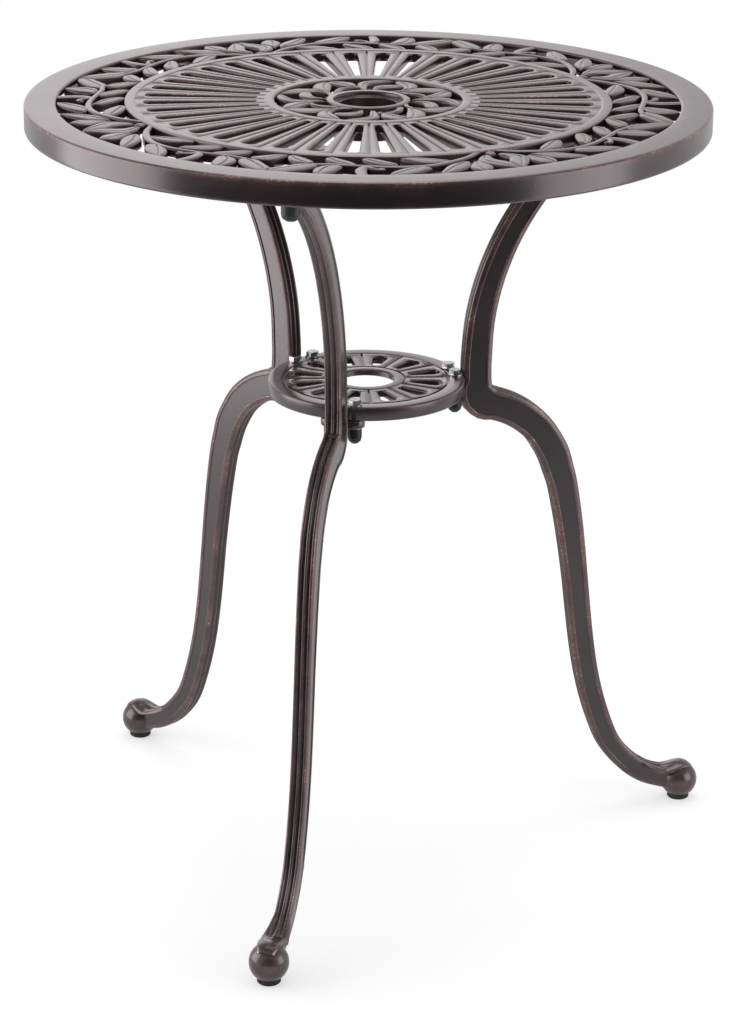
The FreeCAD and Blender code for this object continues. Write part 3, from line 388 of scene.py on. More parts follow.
# Shader nodes, and the groups that several finishes share
class Wiring:
    """Adds and joins the nodes of one tree."""

    def __init__(self, tree: bpy.types.ShaderNodeTree) -> None:
        """Keep the tree whose nodes are joined."""
        self.tree = tree

    def add(self, kind: str, **settings: object) -> bpy.types.Node:
        """Add a node.

        Args:
            kind: the node's kind.
            settings: the properties to set on it.

        Returns:
            The new node.
        """
        node = self.tree.nodes.new(kind)
        for name, value in settings.items():
            setattr(node, name, value)
        return node

    def join(self, source: Socket, target: Socket) -> None:
        """Link two sockets."""
        self.tree.links.new(source, target)

    def feed(self, value: object, target: Socket) -> None:
        """Link a socket to the target, or set the target to a number or colour.

        Args:
            value: a socket, or what the target's value becomes.
            target: the socket that is fed.
        """
        if isinstance(value, Socket):
            self.join(value, target)
        else:
            target.default_value = value

    def own(self, kind: str) -> bpy.types.Node:
        """The tree's node of a kind."""
        return next(node for node in self.tree.nodes if node.bl_idname == kind)

    def maths(self, operation: str, first: object, second: object, clamp: bool = False) -> Socket:
        """A math node on two sockets or numbers.

        Args:
            operation: the operation's name.
            first: a socket or a number.
            second: a socket or a number.
            clamp: whether the result stays from 0 to 1.

        Returns:
            The result's socket.
        """
        node = self.add("ShaderNodeMath", operation=operation, use_clamp=clamp)
        self.feed(first, node.inputs[0])
        self.feed(second, node.inputs[1])
        return node.outputs[0]

    def greatest(self, *values: Socket) -> Socket:
        """The greatest of some values."""
        return reduce(lambda first, second: self.maths("MAXIMUM", first, second), values)

    def ramp(self, value: Socket, low: float, high: float) -> Socket:
        """Stretch a value so that low becomes 0 and high becomes 1, with soft ends.

        Args:
            value: the value.
            low: what becomes 0.
            high: what becomes 1.

        Returns:
            The stretched value.
        """
        node = self.add("ShaderNodeMapRange", interpolation_type="SMOOTHSTEP")
        self.join(value, node.inputs["Value"])
        node.inputs["From Min"].default_value = low
        node.inputs["From Max"].default_value = high
        return node.outputs["Result"]

    def dimmer(self, value: Socket, span: Place, kept: float) -> Socket:
        """How much light a soft step over a span takes away, down to the share that is kept."""
        return self.maths("MULTIPLY", self.ramp(value, *span), 1.0 - kept)

    def axes(self, vector: Socket) -> bpy.types.NodeOutputs:
        """The X, Y and Z of a vector.

        Args:
            vector: the vector.

        Returns:
            The three sockets, by their letters.
        """
        node = self.add("ShaderNodeSeparateXYZ")
        self.join(vector, node.inputs["Vector"])
        return node.outputs

    def noise(self, scale: object, detail: float, roughness: float = 0.55) -> Socket:
        """Noise fixed to the object, as a value from 0 to 1.

        Args:
            scale: the noise's scale, a socket or a number.
            detail: how many finer layers it has.
            roughness: how strong the finer layers are.

        Returns:
            The noise's value.
        """
        places = self.add("ShaderNodeTexCoord")
        node = self.add("ShaderNodeTexNoise")
        self.join(places.outputs["Object"], node.inputs["Vector"])
        self.feed(scale, node.inputs["Scale"])
        node.inputs["Detail"].default_value = detail
        node.inputs["Roughness"].default_value = roughness
        return node.outputs["Fac"]

    def mixed(self, share: Socket, first: object, second: object) -> Socket:
        """Mix two colours.

        Args:
            share: how much of the second colour there is.
            first: a colour or a colour socket.
            second: a colour or a colour socket.

        Returns:
            The mixed colour's socket.
        """
        node = self.add("ShaderNodeMix", data_type="RGBA")
        self.join(share, node.inputs[0])
        for socket, value in ((node.inputs[6], first), (node.inputs[7], second)):
            self.feed(value if isinstance(value, Socket) else (*value, 1.0), socket)
        return node.outputs[2]

    def placed(self, group: bpy.types.ShaderNodeTree, **values: float) -> bpy.types.NodeOutputs:
        """Place a node group.

        Args:
            group: the group.
            values: its inputs, where an underscore stands for a space.

        Returns:
            The group's outputs, by name.
        """
        node = self.add("ShaderNodeGroup", node_tree=group)
        for name, value in values.items():
            node.inputs[name.replace("_", " ")].default_value = value
        return node.outputs

    def bumped(self, shader: bpy.types.Node, height: Socket, depth: float) -> None:
        """Feed a height to a shader's normal.

        Args:
            shader: the shader.
            height: the height, from 0 to 1.
            depth: what a height of 1 stands for, in metres.
        """
        bump = self.add("ShaderNodeBump")
        bump.inputs["Strength"].default_value = 1.0
        bump.inputs["Distance"].default_value = depth
        self.join(height, bump.inputs["Height"])
        self.join(bump.outputs["Normal"], shader.inputs["Normal"])

    def plain(self, kind: str, grey: float, strength: float | None = None) -> Socket:
        """Add a shader of one grey.

        Args:
            kind: the shader node's kind.
            grey: how light it is.
            strength: its strength, for a kind that shines.

        Returns:
            The shader's socket.
        """
        node = self.add(kind)
        node.inputs["Color"].default_value = (grey, grey, grey, 1.0)
        if strength is not None:
            node.inputs["Strength"].default_value = strength
        return node.outputs[0]

    def blend(self, share: Socket, first: Socket, second: Socket) -> Socket:
        """Mix two shaders.

        Args:
            share: how much of the second shader there is.
            first: the first shader.
            second: the second shader.

        Returns:
            The mixed shader's socket.
        """
        node = self.add("ShaderNodeMixShader")
        for value, socket in zip((share, first, second), node.inputs):
            self.join(value, socket)
        return node.outputs[0]

    def looks(self) -> tuple[Socket, Socket]:
        """Tell the rays that look at the background from those that carry light.

        Returns:
            Whether a ray looks, straight or by a mirrored or clear surface, and whether it is a mirrored one.
        """
        path = self.add("ShaderNodeLightPath").outputs
        looking = self.greatest(path["Is Camera Ray"], path["Is Glossy Ray"], path["Is Transmission Ray"])
        return looking, path["Is Glossy Ray"]


def node_group(name: str, inputs: dict[str, float], outputs: Sequence[str]) \
        -> tuple[Wiring, bpy.types.NodeOutputs, bpy.types.NodeInputs]:
    """Start a shader node group with named number sockets.

    Args:
        name: the group's name.
        inputs: each input's name and usual value.
        outputs: the outputs' names.

    Returns:
        The group's wiring, the values that it takes and the sockets that it gives.
    """
    group = bpy.data.node_groups.new(name, "ShaderNodeTree")
    for label, value in inputs.items():
        socket = group.interface.new_socket(name=label, in_out="INPUT", socket_type="NodeSocketFloat")
        socket.default_value = value
    for label in outputs:
        group.interface.new_socket(name=label, in_out="OUTPUT", socket_type="NodeSocketFloat")
    wiring = Wiring(group)
    return wiring, wiring.add("NodeGroupInput").outputs, wiring.add("NodeGroupOutput").inputs


def coat_grain_group() -> bpy.types.ShaderNodeTree:
    """Build the skin of a sprayed or moulded surface: a fine height, a tone that wanders and flecks.

    Returns:
        The group.
    """
    wiring, taken, given = node_group("coat_grain", {"Peel Scale": 900.0, "Drift Scale": 9.0},
                                      ("Height", "Drift", "Fleck"))
    wiring.join(wiring.noise(taken["Peel Scale"], 2.0), given["Height"])
    wiring.join(wiring.noise(taken["Drift Scale"], 3.0), given["Drift"])
    fleck_scale = wiring.maths("MULTIPLY", taken["Peel Scale"], 0.55)
    wiring.join(wiring.ramp(wiring.noise(fleck_scale, 3.0, 0.7), 0.60, 0.74), given["Fleck"])
    return wiring.tree


def edge_rub_and_highlight_group() -> bpy.types.ShaderNodeTree:
    """Build the copper wear and painted highlight lines on edges and ridges, from each point's stored value
    broken up by noise.

    Returns:
        The group.
    """
    wiring, taken, given = node_group("edge_rub_and_highlight", {"Amount": 1.0, "Patch Scale": 30.0, "Speck Scale": 420.0},
                                      ("Mask", "Worn Highlight"))
    stored = wiring.add("ShaderNodeAttribute", attribute_name="rub_and_highlight")
    patches = wiring.ramp(wiring.noise(taken["Patch Scale"], 3.0, 0.6), 0.38, 0.64)
    specks = wiring.ramp(wiring.noise(taken["Speck Scale"], 3.0, 0.7), 0.42, 0.68)
    patchy = wiring.maths("ADD", wiring.maths("MULTIPLY", patches, 0.72), 0.28)
    speckled = wiring.maths("ADD", wiring.maths("MULTIPLY", specks, 0.5), 0.5)
    broken = wiring.maths("MULTIPLY", patchy, speckled)
    scaled = wiring.maths("MULTIPLY", stored.outputs["Fac"], taken["Amount"])
    mask = wiring.maths("MULTIPLY", scaled, broken, clamp=True)
    wiring.join(mask, given["Mask"])
    # The brightest part of the mask paints pale highlight lines over the copper wear.
    wiring.join(wiring.ramp(mask, 0.55, 0.9), given["Worn Highlight"])
    return wiring.tree


def dust_and_top_sheen_group() -> bpy.types.ShaderNodeTree:
    """Build the mask for a dusty film and a painted sheen on faces that look up.

    Returns:
        The group.
    """
    wiring, taken, given = node_group("dust_and_top_sheen", {"Amount": 0.2}, ("Mask",))
    shape = wiring.add("ShaderNodeNewGeometry")
    upward = wiring.ramp(wiring.axes(shape.outputs["Normal"])["Z"], 0.55, 1.0)
    patches = wiring.ramp(wiring.noise(28.0, 4.0, 0.6), 0.25, 0.8)
    # Upward faces in patches: a dusty film and a painted sheen.
    film_and_sheen = wiring.maths("MULTIPLY", upward, patches)
    wiring.join(wiring.maths("MULTIPLY", film_and_sheen, taken["Amount"], clamp=True), given["Mask"])
    return wiring.tree


@dataclass(frozen=True)
class Groups:
    """The node groups that the finishes share."""

    coat_grain: bpy.types.ShaderNodeTree
    edge_rub_and_highlight: bpy.types.ShaderNodeTree
    dust_and_top_sheen: bpy.types.ShaderNodeTree


def blank_material(name: str) -> tuple[bpy.types.Material, Wiring, bpy.types.Node]:
    """Start a material.

    Args:
        name: the material's name.

    Returns:
        The material, its wiring and its Principled shader.
    """
    material = bpy.data.materials.new(name)
    material.use_nodes = True
    wiring = Wiring(material.node_tree)
    return material, wiring, wiring.own("ShaderNodeBsdfPrincipled")


# Finishes
@dataclass(frozen=True)
class BronzeCoat:
    """Satin antique-bronze powder coat on cast aluminium with copper showing through on the edges, painted
    highlight lines on edges and ridges, and a dusty film with a painted sheen on faces that look up.
    """

    name: str = "antique_bronze_coat"
    body: Colour = (0.0056, 0.0050, 0.0066)
    warm: Colour = (0.019, 0.0108, 0.0122)
    # The next two colours are copper wear on edges and ridges and also their painted pale highlight lines.
    copper: Colour = (0.290, 0.165, 0.145)
    bare_copper_and_highlight: Colour = (0.66, 0.50, 0.46)
    # A dusty film and a painted sheen on faces that look up.
    dust_and_sheen: Colour = (0.16, 0.15, 0.16)
    gloss_tint: Colour = (1.0, 0.94, 0.98)
    coat_tint: Colour = (1.0, 0.92, 0.94)
    roughness: float = 0.22
    roughness_drift: float = 0.12
    coat_roughness: float = 0.22
    index: float = 1.7
    fleck_share: float = 0.03
    bare_copper_and_highlight_share: float = 0.6
    metal_share: float = 0.75
    peel_depth: float = 0.00005

    def material(self, groups: Groups) -> bpy.types.Material:
        """Build the material.

        Args:
            groups: the shared node groups.

        Returns:
            The finished material.
        """
        material, wiring, shader = blank_material(self.name)
        grain = wiring.placed(groups.coat_grain, Peel_Scale=850.0, Drift_Scale=11.0)
        rub_and_highlight = wiring.placed(groups.edge_rub_and_highlight, Amount=1.0, Patch_Scale=34.0, Speck_Scale=460.0)
        dust_and_sheen = wiring.placed(groups.dust_and_top_sheen, Amount=0.26)
        body = wiring.mixed(wiring.ramp(grain["Drift"], 0.35, 0.7), self.body, self.warm)
        flecked = wiring.mixed(wiring.maths("MULTIPLY", grain["Fleck"], self.fleck_share), body, self.copper)
        # Edges and ridges turn copper, then pale pink: copper wear, and painted highlight lines.
        copper_and_highlight_mix = wiring.mixed(rub_and_highlight["Mask"], flecked, self.copper)
        worn_and_highlight = wiring.mixed(wiring.maths("MULTIPLY", rub_and_highlight["Worn Highlight"], self.bare_copper_and_highlight_share), copper_and_highlight_mix, self.bare_copper_and_highlight)
        # Faces that look up drift to a paler tone: a dusty film and a painted sheen.
        wiring.join(wiring.mixed(dust_and_sheen["Mask"], worn_and_highlight, self.dust_and_sheen), shader.inputs["Base Color"])
        wiring.join(wiring.maths("MULTIPLY", rub_and_highlight["Mask"], self.metal_share), shader.inputs["Metallic"])
        spread = wiring.maths("MULTIPLY", grain["Drift"], self.roughness_drift)
        wiring.join(wiring.maths("ADD", spread, self.roughness), shader.inputs["Roughness"])
        shader.inputs["IOR"].default_value = self.index
        shader.inputs["Specular Tint"].default_value = (*self.gloss_tint, 1.0)
        shader.inputs["Coat Weight"].default_value = 1.0
        shader.inputs["Coat Roughness"].default_value = self.coat_roughness
        shader.inputs["Coat Tint"].default_value = (*self.coat_tint, 1.0)
        wiring.bumped(shader, grain["Height"], self.peel_depth)
        return material


@dataclass(frozen=True)
class AgedFinish:
    """A colour that drifts to an aged one, with a fine grain, dust and an uneven gloss."""

    name: str
    colour: Colour
    aged: Colour
    roughness: float
    peel_depth: float
    peel_scale: float
    drift_scale: float
    drift_span: Place
    dust_and_sheen: float
    uneven: str
    uneven_share: float
    metallic: float

    def material(self, groups: Groups) -> bpy.types.Material:
        """Build the material.

        Args:
            groups: the shared node groups.

        Returns:
            The finished material.
        """
        material, wiring, shader = blank_material(self.name)
        grain = wiring.placed(groups.coat_grain, Peel_Scale=self.peel_scale, Drift_Scale=self.drift_scale)
        dust_and_sheen = wiring.placed(groups.dust_and_top_sheen, Amount=self.dust_and_sheen)
        drifting = wiring.mixed(wiring.ramp(grain["Drift"], *self.drift_span), self.colour, self.aged)
        wiring.join(wiring.mixed(dust_and_sheen["Mask"], drifting, self.aged), shader.inputs["Base Color"])
        spread = wiring.maths("MULTIPLY", grain[self.uneven], self.uneven_share)
        wiring.join(wiring.maths("ADD", spread, self.roughness), shader.inputs["Roughness"])
        shader.inputs["Metallic"].default_value = self.metallic
        wiring.bumped(shader, grain["Height"], self.peel_depth)
        return material


@dataclass(frozen=True)
class PlatedSteel(AgedFinish):
    """Zinc-plated steel of the bolts, washers, nuts and studs."""

    peel_depth: float = 0.00002
    peel_scale: float = 2600.0
    drift_scale: float = 160.0
    drift_span: Place = (0.4, 0.7)
    dust_and_sheen: float = 0.12
    uneven: str = "Fleck"
    uneven_share: float = 0.18
    metallic: float = 1.0


@dataclass(frozen=True)
class MouldedPlastic(AgedFinish):
    """Moulded plastic of the caps and the foot pads."""

    peel_depth: float = 0.00003
    peel_scale: float = 1500.0
    drift_scale: float = 70.0
    drift_span: Place = (0.45, 0.75)
    dust_and_sheen: float = 0.10
    uneven: str = "Drift"
    uneven_share: float = 0.2
    metallic: float = 0.0


class Finishes:
    """Every finish of the table, by the record's slot."""

    def __init__(self) -> None:
        """Build the groups and the materials."""
        groups = Groups(coat_grain_group(), edge_rub_and_highlight_group(), dust_and_top_sheen_group())
        makers = {
            Slot.CASTINGS: BronzeCoat(),
            Slot.BOLTS: PlatedSteel("bright_zinc", (0.66, 0.66, 0.67), (0.42, 0.42, 0.44), 0.2),
            # The nuts get a darker copy of the bolts' zinc: painted shade for their place under the shelf.
            Slot.NUTS: PlatedSteel("shade_darkened_zinc", (0.46, 0.46, 0.47), (0.28, 0.28, 0.30), 0.3),
            Slot.BOLT_CAPS: MouldedPlastic("grey_cap_plastic", (0.035, 0.035, 0.040), (0.07, 0.07, 0.075),
                                           0.32, 0.00003),
            Slot.NUT_CAPS: MouldedPlastic("black_cap_plastic", (0.012, 0.012, 0.013), (0.03, 0.03, 0.032),
                                          0.2, 0.00002),
            Slot.FOOT_PADS: MouldedPlastic("pad_rubber", (0.014, 0.014, 0.014), (0.035, 0.034, 0.033),
                                           0.45, 0.00004),
        }
        self.materials = {slot: maker.material(groups) for slot, maker in makers.items()}

    def dress(self, piece: bpy.types.Object, slot: Slot) -> None:
        """Give a new piece its finish and its slot."""
        piece.data.materials.append(self.materials[slot])

    def dress_node(self, node: bpy.types.Object, slot: Slot) -> None:
        """Give a CAD node's material slots the finish."""
        for place in node.material_slots:
            place.material = self.materials[slot]


# Cast ornament
@dataclass(frozen=True)
class Leaf:
    """A domed leaf: its foot, its tip and its two edges, in (degrees, radius in mm)."""

    foot: Place
    tip: Place
    left: tuple[Place, ...]
    right: tuple[Place, ...]
    crease: float = 0.8
    crown: float = 0.8
    sweep: float = 0.22


@dataclass(frozen=True)
class Stem:
    """A rounded stem along a curve, with widths spread evenly along it."""

    line: tuple[Place, ...]
    widths: tuple[float, ...]
    lift: float = 0.0


@dataclass(frozen=True)
class Berry:
    """A round knob: its place, and half its length along and across the radius."""

    turn: float
    radius: float
    along: float
    across: float


FRIEZE_LEAVES = (
    Leaf((1.5, 219.0), (0.0, 271.6), ((1.0, 227.0), (1.5, 233.0), (1.1, 240.5), (0.15, 247.5), (0.0, 258.0)),
         ((4.1, 227.5), (5.4, 237.0), (5.3, 243.5), (4.4, 250.0), (2.9, 258.5), (1.3, 266.5)), 0.7),
    Leaf((5.7, 236.0), (6.9, 271.6), ((4.9, 244.5), (4.2, 255.0), (4.9, 263.5)),
         ((7.2, 243.5), (8.6, 255.0), (8.2, 264.0))),
    Leaf((6.9, 233.5), (14.6, 272.2), ((7.5, 245.0), (8.6, 253.5), (10.6, 261.5), (12.6, 268.0)),
         ((11.0, 240.5), (12.6, 247.0), (13.7, 255.5), (14.6, 264.0))),
    Leaf((17.6, 244.0), (24.0, 272.2), ((15.4, 249.0), (16.9, 257.5), (19.2, 265.5), (21.6, 270.5)),
         ((20.8, 248.5), (22.4, 255.0), (23.4, 262.0))),
    Leaf((33.6, 238.5), (36.0, 272.2), ((32.2, 243.0), (32.7, 251.0), (33.4, 260.5), (34.6, 268.5)),
         ((36.4, 243.0), (37.2, 250.0), (37.4, 258.0), (37.0, 266.0))),
    Leaf((37.4, 238.0), (45.0, 272.2), ((37.0, 245.0), (38.5, 255.0), (40.5, 262.5), (42.8, 270.0)),
         ((40.6, 238.5), (42.4, 245.5), (43.9, 253.0), (45.0, 258.5), (45.0, 266.0))),
    Leaf((9.6, 231.5), (20.2, 212.6),
         ((12.2, 234.0), (15.1, 233.3), (17.1, 229.0), (18.9, 223.3), (20.4, 217.0)),
         ((10.9, 226.5), (12.5, 220.8), (14.7, 215.6), (17.2, 212.2))),
    Leaf((21.8, 241.0), (28.6, 212.4), ((21.5, 233.0), (22.8, 226.0), (24.7, 218.5), (26.8, 213.0)),
         ((25.8, 233.5), (27.8, 226.0), (28.8, 219.0))),
    Leaf((31.0, 238.5), (36.5, 212.4), ((29.6, 235.0), (30.5, 228.0), (32.1, 221.0), (34.4, 214.0)),
         ((33.6, 234.0), (35.5, 228.0), (36.6, 221.0))),
    Leaf((39.6, 238.5), (45.0, 212.6), ((38.2, 233.0), (38.9, 227.0), (40.5, 220.5), (42.9, 214.5)),
         ((41.8, 236.0), (43.2, 232.0), (44.2, 226.0), (44.9, 218.5))),
)
FRIEZE_STEMS = (
    Stem(((2.4, 211.5), (4.2, 217.0), (5.9, 222.5), (8.5, 229.0), (11.2, 235.0), (13.4, 239.5), (16.4, 243.0),
          (20.1, 244.2), (23.9, 243.0), (27.8, 240.6), (31.6, 238.3), (35.5, 237.6), (38.6, 240.5)),
         (5.2, 6.8, 6.8, 5.4, 5.0, 5.0), 0.1),
    Stem(((27.0, 240.5), (28.3, 246.0), (28.7, 252.5), (28.7, 259.0), (28.5, 265.5), (28.2, 272.4)),
         (7.5, 10.0, 8.6)),
    Stem(((27.5, 244.5), (26.6, 249.0), (25.4, 252.6), (24.4, 252.0)), (5.0, 4.4, 4.4), 0.2),
)
FRIEZE_BERRIES = (Berry(24.9, 250.8, 3.1, 3.3),)
FRIEZE_AXIS_BERRIES = (Berry(0.0, 217.3, 5.3, 4.8),)
ROSETTE_LEAVES = (
    Leaf((22.3, 43.0), (-1.0, 81.0), ((22.4, 54.0), (21.2, 62.5), (18.2, 69.5), (9.0, 79.5)),
         ((15.8, 49.0), (5.9, 59.5), (0.3, 70.0)), 0.8),
    Leaf((24.5, 42.5), (45.2, 82.2), ((21.6, 55.0), (20.8, 63.5), (23.6, 70.0), (30.0, 78.5)),
         ((27.6, 50.0), (29.8, 58.0), (35.2, 63.0), (40.7, 69.0), (44.3, 76.0)), 0.8),
    Leaf((54.2, 36.0), (33.0, 60.5), ((58.0, 46.0), (56.6, 55.0), (50.5, 61.5), (42.0, 65.5), (36.0, 65.5)),
         ((51.8, 42.5), (47.5, 48.5), (40.0, 53.0), (35.0, 56.5)), 0.5),
    Leaf((67.8, 36.5), (46.0, 82.4), ((71.6, 46.0), (72.2, 57.0), (70.6, 68.5), (65.0, 76.0), (55.8, 81.2)),
         ((63.8, 46.0), (63.5, 56.5), (61.4, 64.0), (56.2, 69.4), (50.2, 74.5)), 0.7),
    Leaf((76.5, 51.0), (89.4, 82.2), ((72.5, 60.5), (73.7, 70.5), (80.5, 77.5)),
         ((82.4, 54.5), (87.0, 62.0), (90.4, 71.5)), 0.9),
    Leaf((75.5, 50.5), (114.0, 39.5), ((80.0, 54.2), (87.0, 54.2), (96.0, 51.4), (106.0, 45.0)),
         ((80.5, 49.5), (87.5, 47.4), (95.0, 43.4), (103.5, 38.0)), 0.4),
)
ROSETTE_STEMS = (Stem(((38.0, 35.0), (31.0, 38.4), (26.0, 43.0), (23.2, 50.0)), (5.6, 5.0, 4.0)),)
ROSETTE_BERRIES = (Berry(74.2, 52.0, 3.6, 3.6),)


@dataclass
class CastOrnament:
    """Leaves, stems and berries that stand between two rings of the top."""

    surface: Surface
    top: float = 699.5
    underside: float = 692.0
    leaf_stations: int = 15
    foot_fullness: float = 0.25
    foot_rise: float = 5.0
    tip_fullness: float = 0.15
    tip_rise: float = 4.0
    dome_power: float = 3.0
    least_width: float = 0.3
    least_half: float = 0.06
    crease_width: float = 0.55
    # The bands and values below are copper wear and also paint highlights on the leaves' brims and creases
    # and on the tops of stems and berries.
    crease_rub_and_highlight: RubAndHighlightBand = RubAndHighlightBand(0.35, 0.9, 0.4)
    brim_width: float = 1.1
    brim_drop: float = 1.1
    brim_rub_and_highlight: RubAndHighlightBand = RubAndHighlightBand(0.75, 0.7, 0.6)
    stem_drop: float = 1.5
    stem_fullness: float = 0.7
    stem_rub_and_highlight: RubAndHighlightBand = RubAndHighlightBand(0.7, 90.0, 32.0)
    berry_rise: float = 2.6
    berry_drop: float = 2.2
    berry_rub_and_highlight: float = 0.7
    berry_rub_and_highlight_from: float = 50.0
    berry_steps: int = 28

    def leaf(self, leaf: Leaf) -> None:
        """Add a domed leaf with a crease along its midrib.

        Args:
            leaf: the leaf's outline.
        """
        left = smooth_line([polar(*p) for p in (leaf.foot, *leaf.left, leaf.tip)], self.leaf_stations)
        right = smooth_line([polar(*p) for p in (leaf.foot, *leaf.right, leaf.tip)], self.leaf_stations)
        side = (0.05, 0.11, 0.2, 0.36, 0.6, 0.8, 0.9, 0.97, 1.0)
        across = [-u for u in side[::-1]] + [0.0, *side]
        spread, under = Vector((self.least_half, 0.0, 0.0)), raised(self.underside)
        loops = []
        for index, (a, b) in enumerate(zip(left, right)):
            share = index / (self.leaf_stations - 1)
            ends = min(1.0, self.foot_rise * share + self.foot_fullness,
                       self.tip_rise * (1.0 - share) + self.tip_fullness)
            if (b - a).length <= self.least_width:
                a, b = a - spread, b + spread
            half = (b - a).length / 2
            shift = leaf.sweep * math.sin(math.pi * share)
            loop: list[Dressed] = []
            for u in across:
                v = u + shift * (1.0 - u * u)
                inset = (1.0 - abs(v)) * half
                dome = leaf.crown * ends * (1.0 - abs(v) ** self.dome_power)
                crease = leaf.crease * ends * bell(u * half, 0.0, self.crease_width)
                brim = self.brim_drop * max(0.0, 1.0 - inset / self.brim_width) ** 2
                level = self.top - leaf.crown + dome - crease - brim
                rub_and_highlight = self.brim_rub_and_highlight.at(inset) + self.crease_rub_and_highlight.at(abs(u) * half)
                loop.append((a.lerp(b, (v + 1) / 2) + raised(level), rub_and_highlight))
            loop += [(b + under, 0.0), (a + under, 0.0)]
            loops.append(loop)
        self.surface.loft(loops)

    def stem(self, stem: Stem) -> None:
        """Add a rounded stem.

        Args:
            stem: the stem's line and widths.
        """
        count = 6 + 3 * len(stem.line)
        line = smooth_line([polar(*p) for p in stem.line], count)
        under = raised(self.underside)
        loops = []
        for index, middle in enumerate(line):
            ahead = heading(line, index)
            share = index / (count - 1) * (len(stem.widths) - 1)
            first = min(int(share), len(stem.widths) - 2)
            half = between(stem.widths[first], stem.widths[first + 1], share - first) / 2
            side = Vector((-ahead.y, ahead.x, 0.0)) * half
            loop: list[Dressed] = []
            for degrees in (0, 18, 38, 60, 80, 100, 120, 142, 162, 180):
                angle = math.radians(degrees)
                level = self.top + stem.lift - self.stem_drop * (1.0 - math.sin(angle) ** self.stem_fullness)
                loop.append((middle + side * math.cos(angle) + raised(level), self.stem_rub_and_highlight.at(degrees)))
            loop += [(middle - side + under, 0.0), (middle + side + under, 0.0)]
            loops.append(loop)
        self.surface.loft(loops)

    def berry(self, berry: Berry) -> None:
        """Add a round knob, its length along the radius.

        Args:
            berry: its place and size.
        """
        centre = polar(berry.turn, berry.radius)
        along = polar(berry.turn, berry.along)
        across = polar(berry.turn + 90.0, berry.across)
        turns = [2 * math.pi * step / self.berry_steps for step in range(self.berry_steps)]
        rises = [(1.0, self.underside, 0.0)]
        for degrees in (0.0, 14.0, 28.0, 42.0, 56.0, 70.0, 82.0):
            rise = math.radians(degrees)
            level = self.top - self.berry_drop + self.berry_rise * math.sin(rise)
            rises.append((math.cos(rise), level, self.berry_rub_and_highlight if degrees > self.berry_rub_and_highlight_from else 0.0))
        loops = []
        for reach, level, rub_and_highlight in rises:
            middle = centre + raised(level)
            loops.append([(middle + (along * math.cos(t) + across * math.sin(t)) * reach, rub_and_highlight)
                          for t in turns])
        self.surface.loft(loops)


